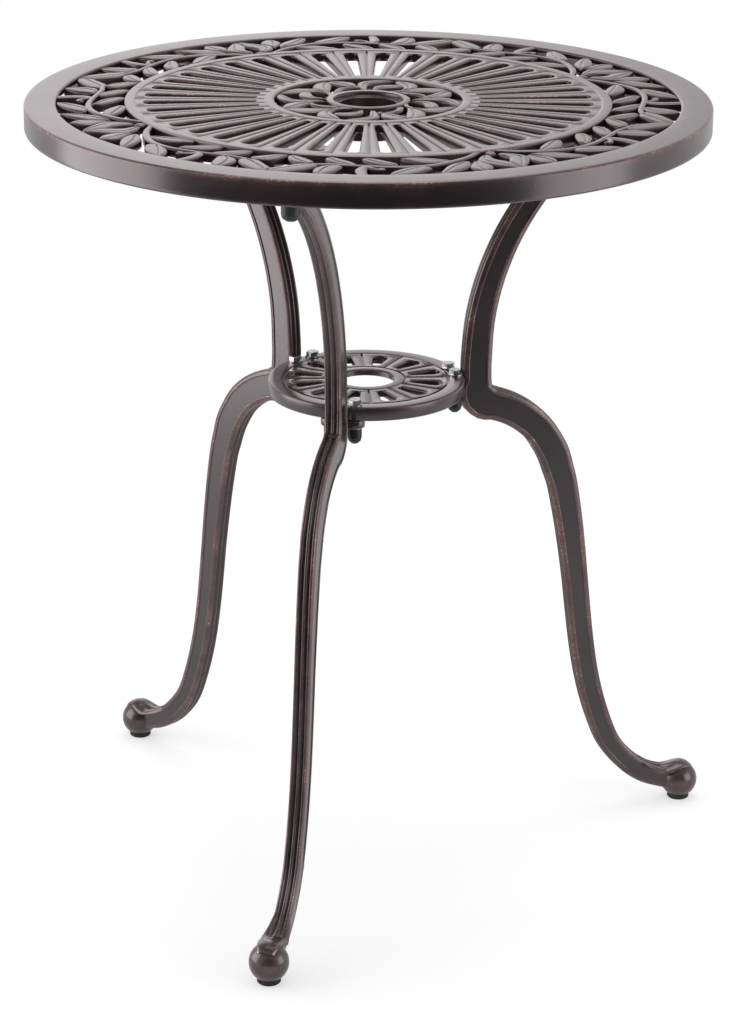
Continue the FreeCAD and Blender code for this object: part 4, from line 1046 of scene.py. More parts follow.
@dataclass
class PiercedRing:
    """A ring plate with tapered round-ended slots and a groove down each bar between them."""

    inner: float
    outer: float
    top: float
    underside: float
    count: int
    first_bar: float
    slot_in: float
    slot_in_width: float
    slot_out: float
    slot_out_width: float
    groove_from: float
    groove_to: float
    groove_half: float = 0.75
    groove_deep: float = 1.25
    groove_end: float = 0.5
    groove_end_share: float = 0.3
    edge: float = 1.2
    edge_from: float = 2.2

    def half_slot(self, radius: float) -> float:
        """Measure half the slot's width.

        Args:
            radius: the distance from the pole.

        Returns:
            Half the width there, 0 where there is no slot.
        """
        near, far = self.slot_in_width / 2, self.slot_out_width / 2
        near_at, far_at = self.slot_in + near, self.slot_out - far
        if radius <= self.slot_in or radius >= self.slot_out:
            return 0.0
        if radius < near_at:
            return math.sqrt(max(0.0, near ** 2 - (radius - near_at) ** 2))
        if radius > far_at:
            return math.sqrt(max(0.0, far ** 2 - (radius - far_at) ** 2))
        return between(near, far, (radius - near_at) / (far_at - near_at))

    def radii(self) -> list[float]:
        """Choose the rings of points, close together where the slots' ends are round.

        Returns:
            The radii, outward.
        """
        near, far = self.slot_in_width / 2, self.slot_out_width / 2
        start, end = self.slot_in + near, self.slot_out - far
        rounds = (0.0, 0.04, 0.14, 0.3, 0.5, 0.74, 1.0)
        steps = 8
        ramp = 0.8
        found = [self.inner, (self.inner + self.slot_in) / 2, (self.outer + self.slot_out) / 2, self.outer]
        found += [self.slot_in + near * share for share in rounds]
        found += [between(start, end, step / steps) for step in range(1, steps)]
        found += [self.slot_out - far * share for share in rounds]
        found += [self.groove_from, self.groove_from + ramp, self.groove_to - ramp, self.groove_to]
        return sorted(set(round(radius, 3) for radius in found))

    def bar_loop(self, radius: float) -> list[tuple[float, float, float]]:
        """Shape the top of a bar across.

        Args:
            radius: the distance from the pole.

        Returns:
            The points as (distance from the bar's middle, drop below the top, copper wear and painted
            highlight).
        """
        half_span = math.pi * radius / self.count - self.half_slot(radius)
        soft = min(1.0, self.half_slot(radius) / self.edge_from)
        edge, groove = self.edge * soft, self.groove_half
        deep = self.groove_deep if self.groove_from <= radius <= self.groove_to else 0.0
        if 0.0 < min(radius - self.groove_from, self.groove_to - radius) < self.groove_end:
            deep *= self.groove_end_share
        # The slots' bevelled edges get copper wear and painted highlight lines.
        side = [
            (half_span, 1.5 * edge, 0.1), (half_span - 0.25, 0.9 * edge, 0.7 * soft),
            (half_span - 0.8, 0.35 * edge, 0.95 * soft), (half_span - 1.6, 0.06 * edge, 0.4),
            (groove + 0.55, 0.0, 0.25), (groove, 0.25 * deep, 0.45), (groove * 0.62, 0.85 * deep, 0.0),
            (0.0, deep, 0.0),
        ]
        return [(-distance, drop, rub_and_highlight) for distance, drop, rub_and_highlight in side[:-1]] + side[::-1]

    def build(self, surface: Surface) -> None:
        """Add the ring plate.

        Args:
            surface: the surface that takes the ring.
        """
        radii = self.radii()
        for bar in range(self.count):
            middle = self.first_bar + 360.0 / self.count * bar
            tops: list[list[int]] = []
            bottoms: list[list[int]] = []
            for radius in radii:
                tops.append([])
                bottoms.append([])
                for distance, drop, rub_and_highlight in self.bar_loop(radius):
                    turn = middle + math.degrees(distance / radius)
                    tops[-1].append(surface.shared(polar(turn, radius, self.top - drop), rub_and_highlight))
                    bottoms[-1].append(surface.shared(polar(turn, radius, self.underside), 0.0))
            last = len(tops[0]) - 1
            for i in range(len(radii) - 1):
                for j in range(last):
                    surface.face((tops[i][j], tops[i + 1][j], tops[i + 1][j + 1], tops[i][j + 1]))
                    surface.face((bottoms[i][j], bottoms[i][j + 1], bottoms[i + 1][j + 1], bottoms[i + 1][j]))
                if self.half_slot(radii[i]) > 0 or self.half_slot(radii[i + 1]) > 0:
                    surface.face((tops[i][0], bottoms[i][0], bottoms[i + 1][0], tops[i + 1][0]))
                    surface.face((tops[i][last], tops[i + 1][last], bottoms[i + 1][last], bottoms[i][last]))
            for j in range(last):
                surface.face((tops[0][j], tops[0][j + 1], bottoms[0][j + 1], bottoms[0][j]))
                surface.face((tops[-1][j], bottoms[-1][j], bottoms[-1][j + 1], tops[-1][j + 1]))


# Castings
@dataclass
class TableTop:
    """The pierced round top, one casting."""

    surface: Surface = field(default_factory=Surface)
    radius: float = 300.0
    height: float = 700.0
    skirt: float = 22.0
    wall: float = 4.5
    rim_inner: float = 272.0
    rim_flat: float = 283.0
    rim_thick: float = 5.0
    mid_outer: float = 212.8
    mid_inner: float = 203.0
    mid_deep: float = 10.0
    ring_outer: float = 91.2
    ring_inner: float = 82.1
    ring_deep: float = 8.0
    ring_lap: float = 1.5
    hub: float = 36.9
    hub_deep: float = 30.0
    recess: float = 30.2
    recess_deep: float = 4.0
    pattern_turn: float = 27.5
    repeats: int = 4
    boss: float = 10.5
    boss_bottom: float = 676.0
    boss_hole_deep: float = 12.0
    segments: int = 288
    boss_segments: int = 40

    def rim(self) -> None:
        """Add the flat rim with its rolled edge and skirt."""
        top, out = self.height, self.radius
        inner, wall = self.rim_inner, self.radius - self.wall
        foot, under = top - self.skirt, top - self.rim_thick
        # The high values at the rolled edges are copper wear and also paint thin highlight lines along them.
        self.surface.turned([
            (inner, under, 0.0), (inner, top - 1.6, 0.2), (inner + 0.3, top - 0.6, 0.7),
            (inner + 1.1, top - 0.1, 0.7), (inner + 2.4, top, 0.25), (self.rim_flat, top, 0.05),
            (out - 3.2, top, 0.1), (out - 2.0, top - 0.06, 0.3), (out - 1.1, top - 0.32, 0.8),
            (out - 0.4, top - 0.85, 1.0), (out - 0.06, top - 1.6, 0.9), (out, top - 2.5, 0.5),
            (out, top - 5.0, 0.12), (out, top - 12.0, 0.0), (out, foot + 4.0, 0.0), (out, foot + 1.6, 0.2),
            (out - 0.35, foot + 0.6, 0.55), (out - 1.1, foot, 0.45), (wall + 0.7, foot, 0.2),
            (wall, foot + 0.8, 0.1), (wall, under, 0.0),
        ], self.segments)

    def ring(self, inner: float, outer: float, deep: float) -> None:
        """Add a flat ring with softened edges.

        Args:
            inner: its inner radius.
            outer: its outer radius.
            deep: how deep it is.
        """
        edge = [(0.0, deep, 0.0), (0.0, 1.4, 0.2), (0.35, 0.5, 0.7), (1.2, 0.08, 0.6), (2.2, 0.0, 0.2)]
        outline = [(inner + inset, self.height - drop, rub_and_highlight) for inset, drop, rub_and_highlight in edge]
        outline += [(outer - inset, self.height - drop, rub_and_highlight) for inset, drop, rub_and_highlight in edge[::-1]]
        self.surface.turned(outline, self.segments)

    def hub_ring(self) -> None:
        """Add the hub with the umbrella hole and its shallow recess."""
        hole, hub, recess, top = POLE_HOLE, self.hub, self.recess, self.height
        floor, bottom = top - self.recess_deep, top - self.hub_deep
        self.surface.turned([
            (hole, bottom + 0.8, 0.1), (hole, floor - 0.9, 0.3), (hole + 0.9, floor, 0.5),
            (recess - 0.5, floor, 0.0), (recess, floor + 0.5, 0.0), (recess, top - 1.0, 0.3),
            (recess + 0.9, top, 0.7), (hub - 1.4, top, 0.4), (hub - 0.4, top - 0.4, 0.7),
            (hub, top - 1.3, 0.3), (hub, bottom + 1.0, 0.0), (hub - 1.0, bottom, 0.3),
            (hole + 0.8, bottom, 0.3),
        ], self.segments // 2)

    def bosses(self) -> None:
        """Add the six bosses that take the legs' bolts, each with its blind hole."""
        boss, low, high = self.boss, self.boss_bottom, self.height - self.rim_thick
        deep = low + self.boss_hole_deep
        for leg in LegName:
            for radius in HEAD_BOLTS:
                spot = polar(leg.azimuth, radius)
                self.surface.turned([
                    (0.0, deep, 0.0), (BOLT_HOLE, deep, 0.0), (BOLT_HOLE, low, 0.0), (boss - 0.8, low, 0.2),
                    (boss, low + 0.8, 0.3), (boss, high - 1.5, 0.0), (boss - 1.5, high, 0.0),
                    (0.0, high, 0.0),
                ], self.boss_segments, (spot.x, spot.y), closed=False)

    def slots(self) -> None:
        """Add the ring of tapered slots."""
        PiercedRing(
            inner=self.ring_outer - self.ring_lap, outer=self.mid_inner + self.ring_lap, top=699.4,
            underside=self.height - self.ring_deep, count=40, first_bar=self.pattern_turn + 9.0, slot_in=97.5,
            slot_in_width=5.8, slot_out=196.5, slot_out_width=12.4, groove_from=92.0, groove_to=202.2,
        ).build(self.surface)

    def ornament(self) -> None:
        """Add the scroll-leaf frieze and the inner rosette."""
        half, quarter = Surface(), Surface()
        for target, leaves, stems, berries in (
                (half, FRIEZE_LEAVES, FRIEZE_STEMS, FRIEZE_BERRIES),
                (quarter, ROSETTE_LEAVES, ROSETTE_STEMS, ROSETTE_BERRIES + FRIEZE_AXIS_BERRIES)):
            cast = CastOrnament(target)
            for leaf in leaves:
                cast.leaf(leaf)
            for stem in stems:
                cast.stem(stem)
            for berry in berries:
                cast.berry(berry)
        mirror = Matrix.Diagonal((1.0, -1.0, 1.0))
        for index in range(self.repeats):
            turn = turn_of(self.pattern_turn + 360.0 / self.repeats * index)
            self.surface.moved(half, lambda spot, turn=turn: turn @ spot)
            self.surface.moved(half, lambda spot, turn=turn: turn @ (mirror @ spot), flip=True)
            self.surface.moved(quarter, lambda spot, turn=turn: turn @ spot)

    def build(self, finishes: Finishes) -> bpy.types.Object:
        """Build the casting in place of its CAD node.

        Args:
            finishes: the table's finishes.

        Returns:
            The dressed top.
        """
        self.rim()
        self.ring(self.mid_inner, self.mid_outer, self.mid_deep)
        self.ring(self.ring_inner, self.ring_outer, self.ring_deep)
        self.hub_ring()
        self.bosses()
        self.slots()
        self.ornament()
        piece = self.surface.piece("top_casting")
        finishes.dress(piece, Slot.CASTINGS)
        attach(piece, BODY)
        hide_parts("table_top")
        return piece


@dataclass
class LowerShelf:
    """The small pierced shelf between the legs, one casting."""

    surface: Surface = field(default_factory=Surface)
    top: float = 444.5
    radius: float = 88.0
    skirt: float = 12.5
    plate: float = 6.0
    wall: float = 5.0
    band: float = 74.6
    hub: float = 34.4
    turn: float = 3.5
    gutter_width: float = 1.3
    gutter_deep: float = 1.8
    gutter_lap: float = 0.8
    seat: float = 7.5
    seat_lap: float = 0.5
    bolt_hole: float = 3.3
    segments: int = 180
    hub_segments: int = 120
    seat_segments: int = 36

    def plates(self) -> None:
        """Add the outer band with its skirt, the hub and the ring of slots between them."""
        top, out, band, hub, hole = self.top, self.radius, self.band, self.hub, POLE_HOLE
        foot, under, gutter = top - self.skirt, top - self.plate, top - self.gutter_deep
        lip, wall = self.gutter_width + self.gutter_lap, out - self.wall
        self.surface.turned([
            (band, top - 0.9, 0.2), (band + 0.3, top - 0.3, 0.7), (band + 1.2, top, 0.3),
            (out - 1.8, top, 0.2), (out - 0.9, top - 0.14, 0.6), (out - 0.25, top - 0.6, 0.8),
            (out, top - 1.4, 0.4), (out, top - 3.0, 0.0), (out, foot + 1.4, 0.05),
            (out - 0.4, foot + 0.5, 0.4), (out - 1.2, foot, 0.4), (wall + 0.6, foot, 0.1),
            (wall, foot + 0.6, 0.0), (wall, under, 0.0), (band - lip, under, 0.0), (band - lip, gutter, 0.0),
            (band, gutter, 0.0),
        ], self.segments)
        self.surface.turned([
            (hole, under + 0.8, 0.1), (hole, top - 1.0, 0.3), (hole + 0.9, top - 0.1, 0.8),
            (hole + 2.0, top, 0.3), (hub - 1.2, top, 0.3), (hub - 0.3, top - 0.3, 0.7),
            (hub, top - 0.9, 0.3), (hub, gutter, 0.0), (hub + lip, gutter, 0.0), (hub + lip, under, 0.0),
            (hole + 0.8, under, 0.2),
        ], self.hub_segments)
        inner, outer = hub + self.gutter_width, band - self.gutter_width
        PiercedRing(
            inner=inner, outer=outer, top=top, underside=under, count=12, first_bar=self.turn, slot_in=39.5,
            slot_in_width=6.6, slot_out=69.5, slot_out_width=13.0, groove_from=inner, groove_to=outer,
            groove_half=0.85, groove_deep=1.6,
        ).build(self.surface)

    def seats(self) -> None:
        """Add the six seats under the plate that meet the legs' ears."""
        high, foot = self.top - self.plate + self.seat_lap, self.top - self.skirt
        hole, seat = self.bolt_hole, self.seat
        for leg in LegName:
            for side in (-1, 1):
                spot = turn_of(leg.azimuth) @ Vector((EAR_ROW, side * EAR_SPREAD, 0.0))
                self.surface.turned([
                    (hole, high, 0.0), (seat, high, 0.0), (seat, foot + 0.6, 0.1), (seat - 0.6, foot, 0.2),
                    (hole, foot, 0.1),
                ], self.seat_segments, (spot.x, spot.y))

    def build(self, finishes: Finishes) -> bpy.types.Object:
        """Build the shelf in place of its CAD node.

        Args:
            finishes: the table's finishes.

        Returns:
            The dressed shelf.
        """
        self.plates()
        self.seats()
        piece = self.surface.piece("shelf_casting")
        finishes.dress(piece, Slot.CASTINGS)
        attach(piece, BODY)
        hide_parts("lower_shelf")
        return piece


# The shin's course, as shares of the way out to the foot and of the height above it
KNEE_LINE = ((0.072, 0.9865), (0.144, 0.9655), (0.210, 0.937), (0.260, 0.903), (0.300, 0.8665))
SHIN_LINE = ((0.327, 0.827), (0.350, 0.7885), (0.381, 0.7085), (0.406, 0.628), (0.427, 0.5475))
ANKLE_LINE = ((0.4465, 0.467), (0.468, 0.386), (0.497, 0.305), (0.5385, 0.226), (0.595, 0.1485),
              (0.636, 0.111), (0.689, 0.079), (0.750, 0.0505), (0.819, 0.0285), (0.900, 0.0135))

# The petal over the ball: its ridge as (way past the foot's centre, height), and its half width along it
PETAL_RIDGE = ((-40.0, 45.0), (-30.0, 38.7), (-20.0, 35.5), (-11.0, 35.8), (-3.0, 37.2), (3.0, 37.3),
               (8.0, 35.6), (11.6, 32.6))
PETAL_HALVES = ((0.0, 7.75), (0.2, 7.8), (0.38, 9.0), (0.55, 11.2), (0.70, 13.2), (0.82, 13.0), (0.92, 11.8),
                (1.0, 8.0))


@dataclass
class Leg:
    """One scrolled leg with its head plate, ear and ball foot, one casting."""

    name: LegName
    surface: Surface = field(default_factory=Surface)
    width: float = 15.4
    head_depth: float = 21.0
    waist_depth: float = 26.5
    knee_depth: float = 29.5
    shin_depth: float = 22.8
    ankle_depth: float = 19.5
    waist_radius: float = 103.0
    head_radius: float = 240.0
    head_top: float = 676.0
    head_thick: float = 8.0
    head_half: float = 12.5
    waist_level: float = 454.5
    elbow_level: float = 436.0
    elbow_radius: float = 26.0
    elbow_turn: float = 70.0
    elbow_fill: float = 6.0
    ear_level: float = 432.0
    ear_thick: float = 7.0
    ear_lobe: float = 9.0
    ear_neck: float = 6.5
    foot_circle: float = 313.4
    ball_radius: float = 17.4
    ball_level: float = 18.7
    ball_flat: float = 6.2
    stud_top: float = 16.0
    flute: float = 2.0
    bead: float = 2.4
    panel_sunk: float = 0.95
    panel_to: float = 0.86
    panel_fade: float = 0.09
    bar_samples: int = 210
    bar_short_turn: float = 0.8
    depth_ease: float = 1.4
    end_short: float = 4.0
    end_lift: float = 0.4
    petal_samples: int = 44
    petal_thick: float = 3.6
    petal_bend: Place = (90.0, 21.0)
    petal_roll: Place = (4.6, 1.3)
    petal_spread: float = 0.45
    roll_from: float = 0.8
    flute_to: float = 0.3
    flute_fade: float = 0.4
    groove_at: float = 0.34
    groove_width: float = 0.17
    scallop: float = 0.8
    scallop_from: float = 0.8
    scallop_groove: float = 1.4
    # The bands and values below are copper wear and also paint highlights on the ball, the petal's edges and
    # ridge, and its tip.
    ball_rub_and_highlight: RubAndHighlightBand = RubAndHighlightBand(0.5, -5.0, 40.0)
    petal_rub_and_highlight: RubAndHighlightBand = RubAndHighlightBand(0.9, 0.84, 0.12)
    ridge_rub_and_highlight: RubAndHighlightBand = RubAndHighlightBand(0.7, 0.0, 0.1)
    end_rub_and_highlight: float = 0.45
    end_rub_and_highlight_from: float = 0.97
    head_edge: float = 1.1
    ear_edge: float = 0.9
    ball_segments: int = 72
    arc_steps: int = 16

    def stations(self) -> list[tuple[Vector, float]]:
        """Lay out the leg's middle line from head to foot.

        Returns:
            Its places, each with the section's depth there.
        """
        rise = self.head_top - self.waist_level
        reach = self.head_radius - self.waist_radius
        arc_radius = (rise * rise + reach * reach) / (2 * reach)
        over_turn = math.asin(rise / arc_radius) - math.radians(self.bar_short_turn)
        bow_steps, elbow_steps = 7, 4
        found: list[tuple[float, float, float]] = []
        for step in range(bow_steps, 0, -1):
            turn = over_turn * step / bow_steps
            found.append((self.waist_radius + arc_radius * (1 - math.cos(turn)),
                          self.waist_level + arc_radius * math.sin(turn),
                          between(self.waist_depth, self.head_depth,
                                  min(1.0, self.depth_ease * step / bow_steps))))
        found.append((self.waist_radius, self.waist_level, self.waist_depth))
        found.append((self.waist_radius, self.elbow_level, self.waist_depth))
        for step in range(1, elbow_steps + 1):
            share = step / elbow_steps
            turn = math.radians(self.elbow_turn) * share
            fill = self.elbow_fill * math.sin(math.pi * share)
            swing = self.elbow_radius + fill / 2
            found.append((self.waist_radius + self.elbow_radius - swing * math.cos(turn),
                          self.elbow_level - swing * math.sin(turn),
                          between(self.waist_depth, self.knee_depth, share) + fill))
        out_start, level_start, _ = found[-1]
        fall = level_start - self.ball_level
        for line, first, last in ((KNEE_LINE, self.knee_depth, self.knee_depth),
                                  (SHIN_LINE, self.knee_depth, self.shin_depth),
                                  (ANKLE_LINE, self.shin_depth, self.ankle_depth)):
            for index, (out_share, level_share) in enumerate(line, start=1):
                found.append((between(out_start, self.foot_circle, out_share),
                              self.ball_level + fall * level_share, between(first, last, index / len(line))))
        found.append((self.foot_circle - self.end_short, self.ball_level + self.end_lift, self.ankle_depth))
        return [(Vector((radius, 0.0, level)), depth) for radius, level, depth in found]

    def section(self, depth: float, merge: float) -> list[tuple[float, float, float]]:
        """Shape the fluted section, counter-clockwise.

        Args:
            depth: the section's depth from inner to outer face.
            merge: how far the side's panel has run out flush, from 0 to 1.

        Returns:
            The points as (side, outward, copper wear and painted highlight).
        """
        half, deep, flute, bead = self.width / 2, depth / 2, self.flute, self.bead
        # The bead's high values paint the highlight that it catches as well as copper wear, and fade as the
        # panel runs out flush.
        sunk, worn_and_highlight = self.panel_sunk * (1.0 - merge), 1.0 - 0.75 * merge
        quarter = [
            (0.0, deep, 0.75), (half * 0.07, deep - flute * 0.05, 0.6),
            (half * 0.15, deep - flute * 0.32, 0.2), (half * 0.24, deep - flute * 0.78, 0.0),
            (half * 0.34, deep - flute, 0.0), (half * 0.44, deep - flute * 0.8, 0.0),
            (half * 0.54, deep - flute * 0.3, 0.3), (half * 0.64, deep - 0.12, 0.7),
            (half * 0.74, deep - 0.2, 0.8), (half * 0.84, deep - bead * 0.31, 0.9),
            (half - 0.72, deep - bead * 0.65, 0.8), (half - 0.42, deep - bead * 1.08, 0.6),
            (half - 0.08, deep - bead * 1.62, 0.7 * worn_and_highlight), (half, deep - bead * 1.92, worn_and_highlight),
            (half - sunk * 0.13, deep - bead * 2.08, 0.8 * worn_and_highlight),
            (half - sunk * 0.74, deep - bead * 2.27, 0.1 * worn_and_highlight), (half - sunk, deep - bead * 2.33, 0.0),
            (half - sunk, deep - bead * 2.8, 0.0), (half - sunk, deep * 0.22, 0.0),
        ]
        first = quarter + [(x, -y, rub_and_highlight) for x, y, rub_and_highlight in quarter[::-1]]
        return first + [(-x, y, rub_and_highlight) for x, y, rub_and_highlight in first[-2:0:-1]]

    def bar(self) -> None:
        """Add the fluted bar."""
        knots = self.stations()
        places, depths = zip(*knots)
        lengths = walked(places)
        line = smooth_line(places, self.bar_samples)
        run = walked(line)
        loops = []
        for number, middle in enumerate(line):
            index, share = stretch_at(lengths, lengths[-1] * run[number] / run[-1])
            depth = between(depths[index], depths[index + 1], share)
            outward = SIDEWAYS.cross(heading(line, number))
            merge = clamped((run[number] / run[-1] - self.panel_to) / self.panel_fade)
            section = self.section(depth, merge)
            loops.append([(middle + SIDEWAYS * x + outward * y, rub_and_highlight) for x, y, rub_and_highlight in section])
        self.surface.loft(loops)

    def ball(self) -> None:
        """Add the ball foot with its flat underside and the stud's hole."""
        rings, radius, stud = 22, self.ball_radius, self.stud_top
        low = math.asin((self.ball_flat - self.ball_level) / radius)
        outline = [(0.0, stud, 0.0), (BOLT_HOLE, stud, 0.0), (BOLT_HOLE, self.ball_flat, 0.0)]
        for step in range(rings):
            rise = between(low, math.pi / 2, step / rings)
            outline.append((radius * math.cos(rise), self.ball_level + radius * math.sin(rise),
                            self.ball_rub_and_highlight.at(math.degrees(rise))))
        outline.append((0.0, self.ball_level + radius, 0.0))
        self.surface.turned(outline, self.ball_segments, (self.foot_circle, 0.0), closed=False)

    def petal(self) -> None:
        """Add the fluted petal in which the leg's upper face ends over the ball."""
        count = self.petal_samples
        line = smooth_line([Vector((self.foot_circle + x, 0.0, z)) for x, z in PETAL_RIDGE], count)
        halves = smooth_line([Vector((share, half, 0.0)) for share, half in PETAL_HALVES], count)
        sides = (0.0, 0.07, 0.15, 0.24, 0.34, 0.44, 0.54, 0.62, 0.70, 0.78, 0.85, 0.91, 0.96, 1.0)
        across = [-side for side in sides[:0:-1]] + list(sides)
        loops = []
        for index, middle in enumerate(line):
            ahead = heading(line, index)
            up = -SIDEWAYS.cross(ahead)
            half = halves[index].y
            share = index / (count - 1)
            spread = min(1.0, share / self.petal_spread)
            bend, roll = between(*self.petal_bend, spread), between(*self.petal_roll, spread)
            fade = clamped((share - self.flute_to) / self.flute_fade)
            flute = self.flute * (1.0 - fade * fade * (3.0 - 2.0 * fade))
            tip = self.scallop * clamped((share - self.scallop_from) / (1.0 - self.scallop_from))
            end_rub_and_highlight = self.end_rub_and_highlight if share > self.end_rub_and_highlight_from else 0.0
            loop: list[Dressed] = []
            for u in across:
                groove = bell(abs(u), self.groove_at, self.groove_width)
                rolled = roll * clamped((abs(u) - self.roll_from) / (1.0 - self.roll_from)) ** 2
                drop = (u * half) ** 2 / (2 * bend) + rolled + flute * groove
                rub_and_highlight = self.petal_rub_and_highlight.at(abs(u)) + (1.0 - fade) * self.ridge_rub_and_highlight.at(u) + end_rub_and_highlight
                out = ahead * tip * (1.0 - self.scallop_groove * groove)
                loop.append((middle + SIDEWAYS * (u * half) - up * drop + out, rub_and_highlight))
            for u in (self.roll_from, 0.0, -self.roll_from):
                drop = (u * half) ** 2 / (2 * bend) + self.petal_thick + flute
                loop.append((middle + SIDEWAYS * (u * half) - up * drop, 0.0))
            loops.append(loop)
        self.surface.loft(loops)

    def head(self) -> None:
        """Add the head plate that bolts under the top."""
        near, far = HEAD_BOLTS
        outline = arc((far, 0.0), self.head_half, -90.0, 90.0, self.arc_steps)
        outline += arc((near, 0.0), self.head_half, 90.0, 270.0, self.arc_steps)
        self.surface.slab(outline, self.head_top - self.head_thick, self.head_top, self.head_edge)

    def ear(self) -> None:
        """Add the ear under the shelf with its two lobes."""
        lobe, neck = self.ear_lobe, self.ear_neck
        start = -math.degrees(math.asin((EAR_SPREAD - neck) / lobe))
        steps = self.arc_steps + 2
        outline = [(self.waist_radius, neck), *arc((EAR_ROW, EAR_SPREAD), lobe, start, 180.0, steps),
                   *arc((EAR_ROW, -EAR_SPREAD), lobe, 180.0, 360.0 - start, steps),
                   (self.waist_radius, -neck)]
        self.surface.slab(outline, self.ear_level - self.ear_thick, self.ear_level, self.ear_edge)

    def build(self, finishes: Finishes) -> bpy.types.Object:
        """Build the leg in place of its CAD node.

        Args:
            finishes: the table's finishes.

        Returns:
            The dressed leg.
        """
        self.bar()
        self.ball()
        self.petal()
        self.head()
        self.ear()
        turned = Surface()
        turn = turn_of(self.name.azimuth)
        turned.moved(self.surface, lambda spot: turn @ spot)
        piece = turned.piece(f"leg_{self.name.value}_casting")
        finishes.dress(piece, Slot.CASTINGS)
        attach(piece, BODY)
        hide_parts(f"leg_{self.name.value}")
        return piece


class Hardware:
    """The bolts, washers, nuts, caps, studs and pads, which keep their CAD shapes."""

    slots = {
        "top_bolt_cap": Slot.BOLT_CAPS,
        "top_bolt": Slot.BOLTS,
        "top_washer": Slot.BOLTS,
        "shelf_bolt": Slot.BOLTS,
        "shelf_washer": Slot.BOLTS,
        "shelf_nut_cap": Slot.NUT_CAPS,
        "shelf_nut": Slot.NUTS,
        "foot_stud": Slot.BOLTS,
        "foot_pad": Slot.FOOT_PADS,
    }

    def dress(self, finishes: Finishes) -> None:
        """Give each piece of hardware its finish.

        Args:
            finishes: the table's finishes.
        """
        for name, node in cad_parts.items():
            kind = max((k for k in self.slots if name.startswith(k)), key=len, default=None)
            if kind is None:
                continue
            finishes.dress_node(node, self.slots[kind])
            LOG.info("node %s: %s", name, self.slots[kind].value)


@dataclass(frozen=True)
class Softbox:
    """A square lamp: its name, its place and side in metres, and its power in watts."""

    name: str
    place: tuple[float, float, float]
    side: float
    watts: float


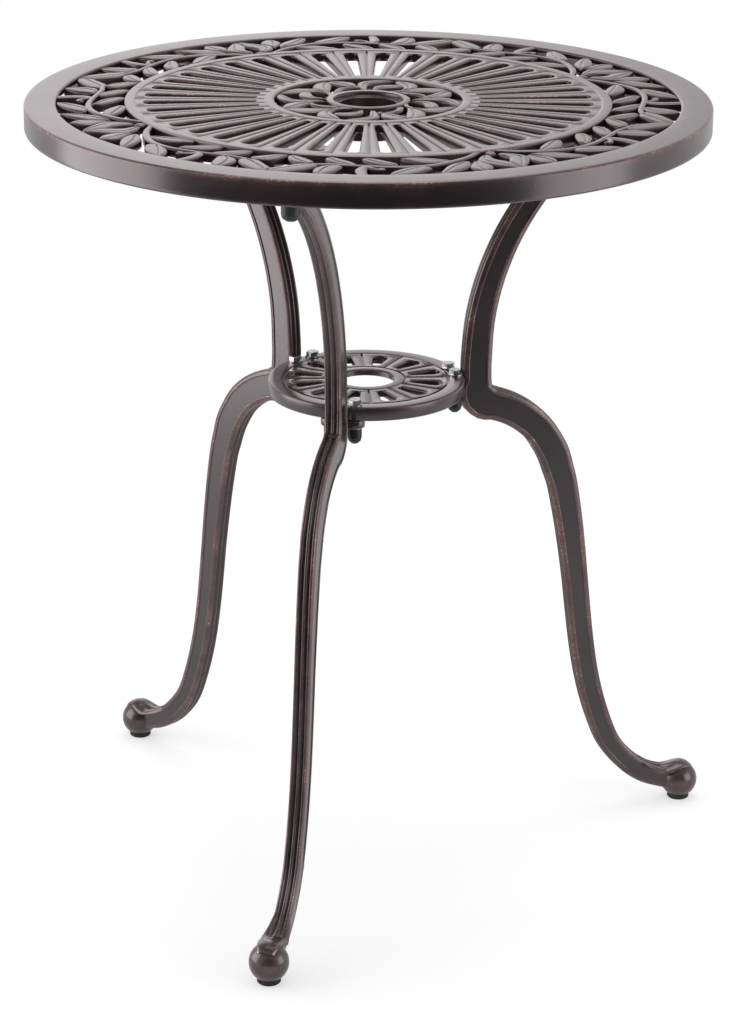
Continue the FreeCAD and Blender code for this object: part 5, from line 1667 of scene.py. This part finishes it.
@dataclass
class Studio:
    """The pale floor, the soft lights and the camera.

    A mirrored ray sees a room that is dimmer in front, above and at the sides, which gives the coat its soft
    contrasts. Every other ray sees plain even light. Lengths are in metres.
    """

    camera_place: tuple[float, float, float] = (0.0, -2.88393, 1.35162)
    camera_turn: tuple[float, float, float] = (71.91741, -0.28102, 0.52510)
    lens: float = 118.50
    shift: Place = (0.0252, -0.0955)
    aim: float = 0.45
    room_light: float = 0.62
    floor_far: float = 6.0
    floor_near: float = 2.6
    floor_drop: float = 0.0002
    floor_grey: float = 0.8
    seen_grey: float = 0.6
    seen_glow: float = 0.53
    glow_fade: Place = (0.6, 1.5)
    front_kept: float = 0.07
    ceiling_kept: float = 0.22
    side_kept: float = 0.56
    right_kept: float = 0.60
    floor_front: Place = (-0.4, -1.2)
    room_front: Place = (-0.35, -0.85)
    room_ceiling: Place = (0.42, 0.82)
    room_side: Place = (0.25, 0.6)
    room_right: Place = (-0.04, 0.13)
    lamps: tuple[Softbox, ...] = (
        Softbox("top_softbox", (0.2, 0.5, 2.9), 2.0, 22.0),
        Softbox("left_softbox", (-1.32, -0.08, 0.55), 1.15, 8.2),
        Softbox("right_softbox", (1.3, -0.53, 0.44), 0.85, 3.8),
    )

    def floor_material(self) -> bpy.types.Material:
        """Build the floor's material, which shows white and keeps the table's shadow.

        Returns:
            The material.
        """
        material, wiring, shader = blank_material("pale_floor")
        wiring.tree.nodes.remove(shader)
        looking, mirrored = wiring.looks()
        place = wiring.add("ShaderNodeNewGeometry").outputs["Position"]
        reach = wiring.add("ShaderNodeVectorMath", operation="LENGTH")
        wiring.join(place, reach.inputs[0])
        lit = wiring.add("ShaderNodeAddShader")
        wiring.join(wiring.plain("ShaderNodeBsdfDiffuse", self.seen_grey), lit.inputs[0])
        wiring.join(wiring.plain("ShaderNodeEmission", 1.0, self.seen_glow), lit.inputs[1])
        faded = wiring.blend(wiring.ramp(reach.outputs["Value"], *self.glow_fade), lit.outputs[0],
                             wiring.plain("ShaderNodeEmission", 1.0, 1.0))
        front = wiring.dimmer(wiring.axes(place)["Y"], self.floor_front, self.front_kept)
        dimmed = wiring.maths("MAXIMUM", front, 1.0 - self.side_kept)
        veiled = wiring.blend(wiring.maths("MULTIPLY", mirrored, dimmed), faded,
                              wiring.plain("ShaderNodeEmission", 1.0, 0.0))
        shown = wiring.blend(looking, wiring.plain("ShaderNodeBsdfDiffuse", self.floor_grey), veiled)
        wiring.join(shown, wiring.own("ShaderNodeOutputMaterial").inputs["Surface"])
        return material

    def floor(self) -> None:
        """Lay the pale floor."""
        far, near = self.floor_far, self.floor_near
        mesh = bpy.data.meshes.new("studio_floor")
        corners = [(-far, -near, 0), (far, -near, 0), (far, far, 0), (-far, far, 0)]
        mesh.from_pydata(corners, [], [(0, 1, 2, 3)])
        mesh.materials.append(self.floor_material())
        floor = bpy.data.objects.new("studio_floor", mesh)
        floor.location.z = -self.floor_drop
        bpy.context.scene.collection.objects.link(floor)

    def world(self) -> None:
        """Fill the room with soft light that shows white."""
        world = bpy.data.worlds.new("studio")
        bpy.context.scene.world = world
        world.use_nodes = True
        wiring = Wiring(world.node_tree)
        looking, mirrored = wiring.looks()
        ways = wiring.axes(wiring.add("ShaderNodeTexCoord").outputs["Generated"])
        sideways = wiring.maths("ABSOLUTE", ways["X"], 0.0)
        dimmed = wiring.greatest(wiring.dimmer(ways["Y"], self.room_front, self.front_kept),
                                 wiring.dimmer(ways["Z"], self.room_ceiling, self.ceiling_kept),
                                 wiring.dimmer(sideways, self.room_side, self.side_kept),
                                 wiring.dimmer(ways["X"], self.room_right, self.right_kept))
        fill, seen = wiring.own("ShaderNodeBackground"), wiring.add("ShaderNodeBackground")
        fill.inputs["Color"].default_value = WHITE
        fill.inputs["Strength"].default_value = self.room_light
        seen.inputs["Color"].default_value = WHITE
        left = wiring.maths("SUBTRACT", 1.0, wiring.maths("MULTIPLY", mirrored, dimmed))
        wiring.join(left, seen.inputs["Strength"])
        shown = wiring.blend(looking, fill.outputs[0], seen.outputs[0])
        wiring.join(shown, wiring.own("ShaderNodeOutputWorld").inputs["Surface"])

    def lamp(self, softbox: Softbox) -> None:
        """Hang a softbox that looks at the table.

        Args:
            softbox: the lamp.
        """
        light = bpy.data.lights.new(softbox.name, "AREA")
        light.shape = "SQUARE"
        light.size = softbox.side
        light.energy = softbox.watts
        lamp = bpy.data.objects.new(softbox.name, light)
        lamp.location = softbox.place
        lamp.rotation_euler = (raised(self.aim) - Vector(softbox.place)).to_track_quat("-Z", "Y").to_euler()
        bpy.context.scene.collection.objects.link(lamp)

    def camera(self) -> None:
        """Set the camera where the photograph's stood."""
        data = bpy.data.cameras.new("photograph_camera")
        data.sensor_width = 36.0
        data.lens = self.lens
        data.shift_x, data.shift_y = self.shift
        data.clip_end = 50.0
        camera = bpy.data.objects.new("photograph_camera", data)
        camera.location = self.camera_place
        camera.rotation_euler = [math.radians(angle) for angle in self.camera_turn]
        bpy.context.scene.collection.objects.link(camera)
        bpy.context.scene.camera = camera

    def build(self) -> None:
        """Set up the whole studio."""
        bpy.context.scene.view_settings.view_transform = "Standard"
        self.floor()
        self.world()
        for softbox in self.lamps:
            self.lamp(softbox)
        self.camera()


def main() -> None:
    """Build the table round the frame and report each piece."""
    logging.basicConfig(level=logging.INFO, format="%(message)s", force=True)
    Studio().build()
    finishes = Finishes()
    pieces = [TableTop().build(finishes), LowerShelf().build(finishes)]
    for name in LegName:
        pieces.append(Leg(name).build(finishes))
    for piece in pieces:
        LOG.info("piece %s: %d faces", piece.name, len(piece.data.polygons))
    Hardware().dress(finishes)


if __name__ == "__main__":
    main()
